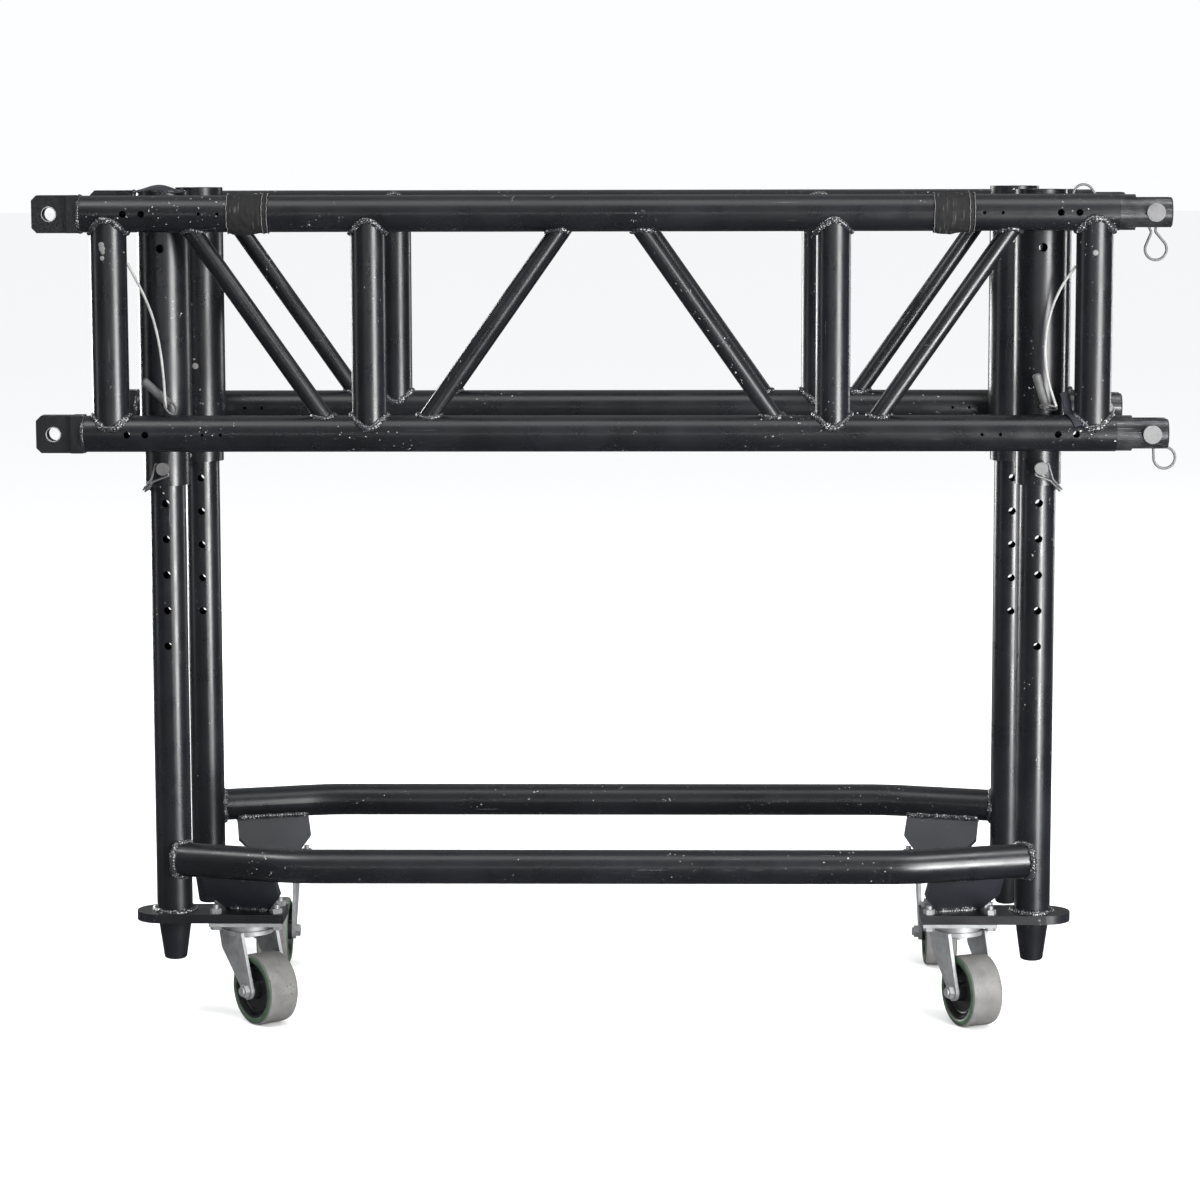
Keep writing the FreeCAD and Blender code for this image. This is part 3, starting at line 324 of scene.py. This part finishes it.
BY_SLOT = {"black_paint": PAINT_X, "dark_metal": FORK_METAL, "zinc": ZINC, "grey_metal": DULL_STEEL,
           "tread": TREAD, "wheel_core": CORE, "cloth_tape": TAPE, "coated_wire": WIRE}
UPRIGHT = ("ladder_posts", "leg_sockets", "legs", "cone_feet")
for entry in frame["record"]["subparts"]:
    node_name = entry["node"]
    material = BY_SLOT[entry["material_slot"]]
    if node_name.endswith(UPRIGHT):
        material = PAINT_Z
    elif node_name.endswith("stored_pin"):
        material = STORED_STEEL
    elif material is ZINC and "caster" not in node_name and "yoke" not in node_name:
        material = PIN_ZINC
    elif node_name.endswith("gussets"):
        material = PAINT_GUSSET
    elif node_name.endswith(("caster_plates", "blades")):
        material = PAINT_PLATE
    for holder in frame["nodes"][node_name].material_slots:
        holder.material = material


# ---------------------------------------------------------------- mesh helpers

def add_object(name, data, body, material):
    piece = bpy.data.objects.new(name, data)
    bpy.context.scene.collection.objects.link(piece)
    data.materials.append(material)
    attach(piece, body)
    return piece


def mesh_from(name, points, faces):
    data = bpy.data.meshes.new(name)
    data.from_pydata([tuple(p) for p in points], [], faces)
    work = bmesh.new()
    work.from_mesh(data)
    bmesh.ops.recalc_face_normals(work, faces=work.faces)
    for face in work.faces:
        face.smooth = True
    work.to_mesh(data)
    work.free()
    return data


class Pile:
    """Vertices and faces of many small shapes that become one piece."""

    def __init__(self):
        self.points, self.faces = [], []

    def add(self, points, faces):
        start = len(self.points)
        self.points += points
        self.faces += [tuple(start + i for i in face) for face in faces]

    def rings(self, rings, closed):
        """Skin over rings of points of the same count, with ends if it is open."""
        count, total = len(rings[0]), len(rings)
        faces = []
        for i in range(total if closed else total - 1):
            a, b = i * count, (i + 1) % total * count
            for k in range(count):
                m = (k + 1) % count
                faces.append((a + k, a + m, b + m, b + k))
        if not closed:
            faces.append(tuple(range(count)))
            faces.append(tuple(range((total - 1) * count, total * count)))
        self.add([p for ring in rings for p in ring], faces)

    def piece(self, name, body, slot_name, material):
        # Nothing stands out past the frontmost or rearmost face of the CAD model.
        depth = cad_high[1] - 0.0003
        points = [Vector((p.x, max(-depth, min(depth, p.y)), p.z)) for p in self.points]
        data = mesh_from(name, points, self.faces)
        return add_object(name, data, body, material)


def round_angles(count=48):
    return [math.tau * i / count for i in range(count)]


def spoke(side, up, angle):
    """Direction at an angle between two crossed directions."""
    return side * math.cos(angle) + up * math.sin(angle)


def resample(points, step, closed):
    """Points at even steps along a line."""
    line = list(points) + ([points[0]] if closed else [])
    lengths = [(line[i + 1] - line[i]).length for i in range(len(line) - 1)]
    total = sum(lengths)
    count = max(6, round(total / step))
    wanted = [total * i / count for i in range(count if closed else count + 1)]
    result, index, passed = [], 0, 0.0
    for distance in wanted:
        while index < len(lengths) - 1 and passed + lengths[index] < distance:
            passed += lengths[index]
            index += 1
        part = (distance - passed) / lengths[index] if lengths[index] else 0.0
        result.append(line[index].lerp(line[index + 1], min(1.0, part)))
    return result, total / count


BEAD_SIDES, BEAD_STEP, BEAD_PITCH = 8, 0.0013, 0.0042


def bead(pile, points, radius, closed=True, seed=0):
    """Weld bead: overlapping ripples along a line, uneven in width and height."""
    line, step = resample(points, BEAD_STEP, closed)
    count = len(line)
    rings = []
    for i, centre in enumerate(line):
        before = line[i - 1] if closed or i else centre
        after = line[(i + 1) % count] if closed or i < count - 1 else centre
        ahead = (after - before).normalized()
        side = ahead.orthogonal().normalized()
        up = ahead.cross(side)
        ripple = abs(math.sin(math.pi * i * step / BEAD_PITCH)) ** 0.6
        lump = noise.noise(centre * 110.0 + Vector((seed, 0, 0)))
        size = radius * (0.74 + 0.30 * ripple + 0.46 * lump)
        if not closed and min(i, count - 1 - i) < 2:
            size *= 0.6
        rings.append([centre + spoke(side, up, a) * size for a in round_angles(BEAD_SIDES)])
    # Rings start at the same side of the line all the way along.
    for i in range(1, count):
        first = rings[i - 1][0]
        best = min(range(BEAD_SIDES), key=lambda shift: (rings[i][shift] - first).length)
        rings[i] = rings[i][best:] + rings[i][:best]
    pile.rings(rings, closed)


# ---------------------------------------------------------------- weld lines

def upright_line(x, y, chord_z, radius, up):
    """Where an upright tube meets a chord; up is +1 on the chord's upper side."""
    line, least_rise = [], 0.0085
    for a in round_angles(64):
        rise = math.sqrt(max(0.0, CHORD_RADIUS ** 2 - (radius * math.sin(a)) ** 2))
        line.append(Vector((x + radius * math.cos(a), y + radius * math.sin(a),
                            chord_z + up * max(rise, least_rise))))
    return line


def brace_line(x, y, chord_z, along, radius, up):
    """Where a slanting tube through the chord's centre meets its upper or lower side."""
    across = Vector((along.z, 0, -along.x))
    line = []
    for a in round_angles():
        offset = across * (radius * math.cos(a))
        rise = up * math.sqrt(CHORD_RADIUS ** 2 - (radius * math.sin(a)) ** 2)
        travel = (rise - offset.z) / along.z
        line.append(Vector((x + offset.x + along.x * travel, y + radius * math.sin(a),
                            chord_z + rise)))
    return line


def socket_lines(x, y_socket, y_chord, chord_z, grow=0.0035):
    """Fillet line round the place where a leg socket touches a chord."""
    chord, socket = CHORD_RADIUS + grow, SOCKET_RADIUS + grow
    toward = 1 if y_socket > y_chord else -1
    right, left = [], []
    for i in range(-12, 13):
        a = math.radians(3.2 * i)
        y = y_chord + toward * chord * math.cos(a)
        inside = socket ** 2 - (y - y_socket) ** 2
        if inside > 0:
            z = chord_z + chord * math.sin(a)
            right.append(Vector((x + math.sqrt(inside), y, z)))
            left.append(Vector((x - math.sqrt(inside), y, z)))
    return right + left[::-1]


def rail_line(side, hand):
    """Where a rail's end meets its leg."""
    start = Vector((RAIL_BEND.x * hand, RAIL_BEND.y * side))
    along = (Vector((RAIL_END.x * hand, RAIL_END.y * side)) - start).normalized()
    across = Vector((-along.y, along.x))
    leg = Vector((LEG_X * hand, LEG_Y * side))
    line = []
    for a in round_angles():
        point = start + across * (RAIL_RADIUS * math.cos(a))
        reach = (leg - point).dot(along)
        miss = (leg - point - along * reach).length
        back = math.sqrt(max(0.0, CHORD_RADIUS ** 2 - miss ** 2))
        stop = (RAIL_END.x - RAIL_BEND.x) / abs(along.x)
        meet = point + along * min(stop, reach - back)
        line.append(Vector((MIDDLE_X + meet.x, meet.y, RAIL_Z + RAIL_RADIUS * math.sin(a))))
    return line


def circle_line(centre, radius, axis="Z"):
    line = []
    for a in round_angles():
        c, s = radius * math.cos(a), radius * math.sin(a)
        line.append(Vector(centre) + (Vector((c, s, 0)) if axis == "Z" else Vector((0, c, s))))
    return line


def cross_line(x, side):
    """Where a cross tube meets the inner face of a top chord."""
    low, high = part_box("top_cross_tubes")
    middle, radius = (low[2] + high[2]) / 2, (high[2] - low[2]) / 2
    line = []
    for a in round_angles(24):
        z = middle + radius * math.sin(a)
        inward = math.sqrt(CHORD_RADIUS ** 2 - (z - LEVELS["top"]) ** 2)
        line.append(Vector((x + radius * math.cos(a), side * (HALF_DEPTH - inward), z)))
    return line


def make_truss_welds():
    pile = Pile()
    for side in SIDES.values():
        y = side * HALF_DEPTH
        for x in CROSS_TUBES:
            bead(pile, cross_line(MIDDLE_X + x, side), 0.0042, seed=x * 30)
        for level, z in LEVELS.items():
            up = -1 if level == "top" else 1
            for hand in HANDS.values():
                for x, radius in POSTS:
                    line = upright_line(MIDDLE_X + hand * x, y, z, radius, up)
                    bead(pile, line, 0.0050, seed=x * 50)
                for top_x, low_x in BRACES:
                    along = Vector((hand * (top_x - low_x), 0, CHORD_SPACING)).normalized()
                    x = MIDDLE_X + hand * (top_x if level == "top" else low_x)
                    line = brace_line(x, y, z, along, BRACE_RADIUS, up)
                    bead(pile, line, 0.0040, seed=top_x * 70)
                line = socket_lines(MIDDLE_X + hand * LEG_X, side * LEG_Y, y, z)
                bead(pile, line, 0.0042, seed=hand)
            bead(pile, circle_line((MIDDLE_X - BLADE_ROOT_X, y, z), 0.0243, "X"), 0.0030,
                 seed=z * 9)
    pile.piece("truss_welds", "truss", "black_paint", PAINT_WELD)


def make_frame_welds(side_name):
    side = SIDES[side_name]
    pile = Pile()
    slope = (RAIL_BEND.y - RAIL_END.y) / (RAIL_END.x - RAIL_BEND.x)
    for hand in HANDS.values():
        bead(pile, rail_line(side, hand), 0.0052, seed=hand * 3)
        leg = (MIDDLE_X + hand * LEG_X, side * LEG_Y, PLATE_TOP)
        bead(pile, circle_line(leg, LEG_WELD_RADIUS), 0.0050, seed=hand * 5)
        along = Vector((1, -side * hand * slope, 0)).normalized()
        outward = Vector((side * hand * slope, side, 0)).normalized()
        up = Vector((0, 0, math.cos(GUSSET_LEAN))) + outward * math.sin(GUSSET_LEAN)
        foot = Vector((MIDDLE_X + hand * GUSSET_X, side * GUSSET_Y, PLATE_TOP + 0.001))
        # Along the gusset's foot, on both faces.
        for turn in (-1, 1):
            base = foot + outward * (turn * 0.0066)
            reach = along * 0.031
            bead(pile, [base - reach, base, base + reach], 0.0062, False, seed=turn)
        # Where the gusset's two faces meet the rail.
        rail_y = RAIL_END.y + (RAIL_END.x - GUSSET_X) * slope
        rail = Vector((MIDDLE_X + hand * GUSSET_X, side * rail_y, RAIL_Z))
        for turn in (-1, 1):
            start = foot + outward * (turn * 0.0056)
            gap = start - rail
            gap -= along * gap.dot(along)
            half = gap.dot(up)
            inside = half ** 2 - gap.length_squared + RAIL_RADIUS ** 2
            top = start + up * (-half - math.sqrt(max(0.0, inside)))
            reach = along * 0.056
            bead(pile, [top - reach, top, top + reach], 0.0048, False, seed=turn + 4)
    pile.piece(f"{side_name}_frame_welds", f"{side_name}_leg_frame", "black_paint", PAINT_WELD)


make_truss_welds()
for side_name in SIDES:
    make_frame_welds(side_name)


# ---------------------------------------------------------------- lanyards

# Points are offsets in millimetres from the truss's middle along X, from the front ladder's
# plane towards the rear, and from the top chord's centre down.
LANYARD_ROUTES = {
    "left": [(-656.5, 2, 68), (-647.5, 5, 86), (-637, 9, 108), (-626.5, 12, 134), (-619, 13, 162),
             (-613.5, 12, 192), (-610, 8, 222), (-607.5, 2, 248), (-605.5, -5, 270)],
    "right": [(656.5, 2, 74), (645, 5, 90), (635, 9, 108), (625.5, 12, 131), (619, 13, 158),
              (616.5, 12, 188), (618, 9, 216), (623.5, 5, 244), (632, 0, 268)],
}
LANYARD_RADIUS = 0.0019


def ladder_point(along, depth, drop):
    return Vector((MIDDLE_X + along / 1000, depth / 1000 - HALF_DEPTH, LEVELS["top"] - drop / 1000))


def make_lanyard(hand_name):
    points = [ladder_point(*point) for point in LANYARD_ROUTES[hand_name]]
    curve = bpy.data.curves.new(f"{hand_name}_wire_lanyard", "CURVE")
    curve.dimensions = "3D"
    curve.bevel_depth = LANYARD_RADIUS
    curve.bevel_resolution = 6
    curve.use_fill_caps = True
    spline = curve.splines.new("NURBS")
    spline.points.add(len(points) - 1)
    for target, point in zip(spline.points, points):
        target.co = (*point, 1.0)
    spline.order_u = 3
    spline.use_endpoint_u = True
    spline.resolution_u = 10
    piece = add_object(curve.name, curve, "truss", WIRE)
    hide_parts(f"{hand_name}_lanyard")


for hand_name in HANDS:
    make_lanyard(hand_name)


# ---------------------------------------------------------------- small parts on the truss

def on_top_chord(x, radius, angle):
    """Point at a radius and an angle round the front top chord's axis."""
    return Vector((x, -HALF_DEPTH + radius * math.cos(angle),
                   LEVELS["top"] + radius * math.sin(angle)))


def make_tape_band(hand_name):
    """Cloth tape wound twice round the chord: a lapped end, ragged edges and slight creases."""
    low = MIDDLE_X + HANDS[hand_name] * TAPE_X - TAPE_WIDTH / 2
    around, across = 96, 28
    rings = []
    for i in range(across + 1):
        ring = []
        share = i / across
        droop = 0.0028 * math.sin(math.pi * min(1.0, share * 1.3 + 0.05))
        for a in round_angles(around):
            c, s = math.cos(a), math.sin(a)
            edge = 0.0011 * noise.noise(Vector((c * 2.2, s * 2.2, 7.0 * round(share) + low)))
            x = low + TAPE_WIDTH * share + edge * (1 if share in (0.0, 1.0) else 0.4)
            crease = 0.0011 * noise.noise(Vector((x * 170, c * 2.5, s * 2.5)))
            lap = 0.0005 if (a / math.tau + 0.12 * share) % 1.0 < 0.45 else 0.0
            second = 0.0006 if 0.10 < share < 0.93 else 0.0
            sag = droop * max(0.0, -s) ** 6
            radius = CHORD_RADIUS + 0.00095 + crease + lap + second + sag
            ring.append(on_top_chord(x, radius, a))
        rings.append(ring)
    for x in (low + TAPE_WIDTH, low):
        rings.append([on_top_chord(x, CHORD_RADIUS + 0.0001, a) for a in round_angles(around)])
    pile = Pile()
    pile.rings(rings, closed=True)
    return pile.piece(f"{hand_name}_tape_band", "truss", "cloth_tape", TAPE)


bands = [make_tape_band(hand_name) for hand_name in HANDS]
for band in bands:
    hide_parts("tape_bands")


def make_frays():
    """Loose pale threads along the edges of the tape."""
    pile = Pile()
    for hand in HANDS.values():
        for offset in (-0.0275, 0.0278, 0.021):
            line = []
            for a in round_angles(72):
                stray = noise.noise(Vector((math.cos(a) * 6, math.sin(a) * 6,
                                            offset * 900 + hand)))
                x = MIDDLE_X + hand * TAPE_X + offset + 0.0012 * stray
                line.append(on_top_chord(x, CHORD_RADIUS + 0.0024, a))
            bead(pile, line, 0.0005, seed=offset * 300)
    pile.piece("tape_frays", "truss", "cloth_tape", THREAD)


make_frays()


# Share of a rivet head's height, and of its radius there.
DOME = ((-0.4, 1.0), (0.0, 1.0), (0.35, 0.94), (0.7, 0.74), (0.92, 0.45), (1.0, 0.12))


def dome(pile, centre, outward, radius, height):
    """Low round rivet head that stands on a surface."""
    side = outward.orthogonal().normalized()
    up = outward.cross(side)
    rings = []
    for rise, share in DOME:
        middle = centre + outward * (height * rise)
        rings.append([middle + spoke(side, up, a) * radius * share for a in round_angles(20)])
    pile.rings(rings, closed=False)


def on_post(x, radius, drop, sideways):
    """Point and outward direction on the outer side of an upright tube of the front ladder."""
    turn = math.asin(sideways / radius)
    outward = Vector((math.sin(turn), -math.cos(turn), 0))
    centre = Vector((MIDDLE_X + x, -HALF_DEPTH, LEVELS["top"] - drop))
    return centre + outward * radius, outward


# Hand, drop below the top chord's axis, offset along X, radius.
POST_MARKS = ((-1, 0.042, -0.006, 0.0042), (-1, 0.047, -0.005, 0.0045),
              (-1, 0.052, -0.004, 0.0030), (-1, 0.060, -0.005, 0.0032),
              (1, 0.055, -0.002, 0.0040))


def make_marks():
    """Bare spots and rivet heads on the end posts, and one rivet on a rear socket."""
    pile = Pile()
    post_x, post_radius = POSTS[0]
    for hand, drop, sideways, radius in POST_MARKS:
        point, outward = on_post(hand * post_x, post_radius, drop, sideways)
        dome(pile, point, outward, radius, 0.0012)
    behind = Vector((MIDDLE_X - LEG_X - 0.004, LEG_Y - 0.0362, LEVELS["top"] - 0.236))
    dome(pile, behind, Vector((-0.11, -1, 0)).normalized(), 0.0048, 0.0022)
    pile.piece("bare_marks", "truss", "grey_metal", CHIP)


make_marks()


def make_hole_highlight_rims():
    """Grey rings round the blade holes: a painted highlight on the holes' chamfered edges."""
    blades = Pile()
    for side in SIDES.values():
        for z in LEVELS.values():
            face = Vector((MIDDLE_X - BLADE_HOLE_X, side * (HALF_DEPTH + BLADE_FACE), z))
            ring = [face + spoke(Vector((1, 0, 0)), Vector((0, 0, 1)), a) * 0.0100
                    for a in round_angles(40)]
            bead(blades, ring, 0.0008, seed=z)
    # Grey steel on these rings is a painted highlight, not bare metal.
    blades.piece("blade_hole_highlight_rims", "truss", "grey_metal", DULL_STEEL)


make_hole_highlight_rims()


# A strap's section: shares of its half width and of its half thickness.
STRAP_SECTION = ((-1, -0.6), (-0.96, -1), (0.96, -1), (1, -0.6),
                 (1, 0.6), (0.96, 1), (-0.96, 1), (-1, 0.6))


def strip(pile, centres, widths, normals, half_thickness):
    """Flat band along a line; each width vector reaches from its middle to its edge."""
    rings = []
    for centre, wide, normal in zip(centres, widths, normals):
        lift = normal * half_thickness
        rings.append([centre + wide * c + lift * n for c, n in STRAP_SECTION])
    pile.rings(rings, closed=False)


def make_webbing_tie():
    """End of a webbing strap that comes over the bottom chord beside the right end post."""
    pile = Pile()
    axis = Vector((MIDDLE_X, -HALF_DEPTH, LEVELS["bottom"]))
    lie = CHORD_RADIUS + 0.0016
    centres, widths, normals = [], [], []
    # Down from behind to the top of the chord.
    for i in range(13):
        t = i / 12
        centres.append(axis + Vector((0.6435 + 0.006 * t + 0.0015 * math.sin(4 * t),
                                      0.013 * (1 - t) + 0.004 * math.sin(3 * t),
                                      lie + 0.029 * (1 - t))))
        widths.append(Vector((0.0060, 0.0012, 0.0015)))
        normals.append(Vector((0, -1 + 0.2 * t, 1.1 * t ** 3)).normalized())
    # On round the chord's front.
    for i in range(1, 17):
        a = math.radians(90 - 64 * i / 16)
        outward = Vector((0, -math.cos(a), math.sin(a)))
        centres.append(axis + Vector((0.6495 + 0.0120 * i / 16, 0, 0)) + outward * lie)
        widths.append(Vector((0.0060, 0, 0)) + Vector((0, math.sin(a), math.cos(a))) * 0.0020)
        normals.append(outward)
    strip(pile, centres, widths, normals, 0.0008)
    pile.piece("webbing_tie", "truss", "cloth_tape", WEBBING)


make_webbing_tie()


def make_strap_flap():
    """Leaf-shaped end of a strap that lies over the left socket's rim and the chord."""
    pile = Pile()
    centres, widths, normals = [], [], []
    start = Vector((MIDDLE_X - 0.648, -0.214, LEVELS["top"] + 0.0262))
    for i in range(25):
        t = i / 24
        hump = math.sin(math.pi * min(1.0, t * 1.15)) ** 1.5
        centres.append(start + Vector((0.066 * t, 0.004 * math.sin(5 * t), 0.0042 + 0.0052 * hump)))
        half = 0.0015 + 0.0115 * math.sin(math.pi * (0.06 + 0.88 * t)) ** 0.8
        widths.append(Vector((0.001, half, 0.25 * half)))
        normals.append(Vector((-0.2 * math.cos(math.pi * t), -0.25, 1)).normalized())
    strip(pile, centres, widths, normals, 0.0009)
    pile.piece("strap_flap", "truss", "cloth_tape", WEBBING)


make_strap_flap()


# Sections round the axle: radius, distance from the wheel's middle plane.
BAND_SECTION = ((0.0402, 0.0228), (0.0406, 0.0239), (0.0459, 0.0240),
                (0.0483, 0.0228), (0.0478, 0.0212))
HUB_SECTION = ((0.0300, 0.0140), (0.0304, 0.0172), (0.0318, 0.0178),
               (0.0330, 0.0172), (0.0334, 0.0140))


def make_wheel_details(side_name, hand_name):
    """Coloured bonding band and moulded rib on both faces of one wheel."""
    key = f"{side_name}_{hand_name}"
    angle = math.radians(SWIVEL_DEGREES[key])
    along = Vector((math.cos(angle), math.sin(angle), 0))
    axle = Vector((-math.sin(angle), math.cos(angle), 0))
    swivel = Vector((MIDDLE_X + HANDS[hand_name] * CASTER_X, SIDES[side_name] * LEG_Y,
                     WHEEL_RADIUS))
    hub = swivel + along * TRAIL
    up = Vector((0, 0, 1))
    band, hub_rings = Pile(), Pile()
    for face in (-1, 1):
        for pile, section in ((band, BAND_SECTION), (hub_rings, HUB_SECTION)):
            rings = []
            for radius, out in section:
                middle = hub + axle * (face * out)
                rings.append([middle + spoke(along, up, a) * radius for a in round_angles(72)])
            pile.rings(rings, closed=True)
    band.piece(f"{key}_wheel_band", f"{key}_wheel", "wheel_core", GREEN)
    hub_rings.piece(f"{key}_hub_rings", f"{key}_wheel", "wheel_core", CORE)


for side_name in SIDES:
    for hand_name in HANDS:
        make_wheel_details(side_name, hand_name)


# ---------------------------------------------------------------- studio

def make_floor():
    """Pale matte floor that shows darker in the gloss of the paint."""
    data = bpy.data.meshes.new("studio_floor")
    reach = 60.0
    corners = [(x * reach, y * reach, 0) for x, y in ((-1, -1), (1, -1), (1, 1), (-1, 1))]
    data.from_pydata(corners, [], [(0, 1, 2, 3)])
    floor = bpy.data.objects.new("studio_floor", data)
    bpy.context.scene.collection.objects.link(floor)
    n = Nodes("pale_floor")
    gloss = n.new("ShaderNodeLightPath").outputs["Is Glossy Ray"]
    colour = n.mix(gloss, (0.93, 0.93, 0.93), (0.06, 0.062, 0.066))
    n.finish(colour, Roughness=0.95, Specular_IOR_Level=0.0)
    data.materials.append(n.material)


def area_light(name, place, aim, width, height, power):
    data = bpy.data.lights.new(name, "AREA")
    data.shape = "RECTANGLE"
    data.size, data.size_y, data.energy = width, height, power
    light = bpy.data.objects.new(name, data)
    bpy.context.scene.collection.objects.link(light)
    light.location = place
    light.rotation_euler = (Vector(aim) - Vector(place)).to_track_quat("-Z", "Y").to_euler()


def make_world():
    """A white backdrop; glossy paint sees a dim sky that fades to a dark horizon."""
    world = bpy.data.worlds.new("studio_world")
    world.use_nodes = True
    tree = world.node_tree
    background = tree.nodes["Background"]
    path = tree.nodes.new("ShaderNodeLightPath")
    direction = tree.nodes.new("ShaderNodeTexCoord")
    split = tree.nodes.new("ShaderNodeSeparateXYZ")
    tree.links.new(direction.outputs["Generated"], split.inputs["Vector"])
    sky = tree.nodes.new("ShaderNodeMapRange")
    for key, value in (("From Min", 0.02), ("From Max", 0.55), ("To Min", 0.03), ("To Max", 0.42)):
        sky.inputs[key].default_value = value
    tree.links.new(split.outputs["Z"], sky.inputs["Value"])
    choice = tree.nodes.new("ShaderNodeMix")
    tree.links.new(path.outputs["Is Glossy Ray"], choice.inputs["Factor"])
    choice.inputs[2].default_value = 1.0
    tree.links.new(sky.outputs["Result"], choice.inputs[3])
    tree.links.new(choice.outputs[0], background.inputs["Strength"])
    background.inputs["Color"].default_value = (0.985, 0.992, 1.0, 1.0)
    bpy.context.scene.world = world


make_floor()
# Name, place, aim, width, height, watts.
area_light("right_panel", (3.3, -4.2, 1.3), (0, 0, 0.8), 1.9, 3.2, 380)
area_light("low_panel", (1.6, -2.1, 0.27), (0, -0.1, 0.5), 0.85, 0.5, 62)
area_light("back_panel", (-3.3, 4.2, 1.3), (0, 0, 0.8), 1.7, 3.0, 230)
area_light("back_strip", (3.6, 3.4, 1.2), (0, 0, 0.8), 0.5, 2.8, 50)
area_light("left_strip", (-4.4, -0.7, 1.2), (0, 0, 0.75), 0.8, 2.8, 18)
area_light("horizon_strip", (0.4, -7.5, 1.25), (0, 0, 1.0), 9.0, 0.14, 60)
area_light("left_top", (-1.9, -1.1, 3.5), (-0.5, -0.25, 0.2), 1.3, 0.8, 48)
area_light("right_top", (1.9, -1.1, 3.5), (0.5, -0.25, 0.2), 1.3, 0.8, 48)
area_light("overhead", (0, -1.4, 4.2), (0, 0, 0.6), 4.0, 2.0, 60)
make_world()
bpy.context.scene.view_settings.view_transform = "Standard"
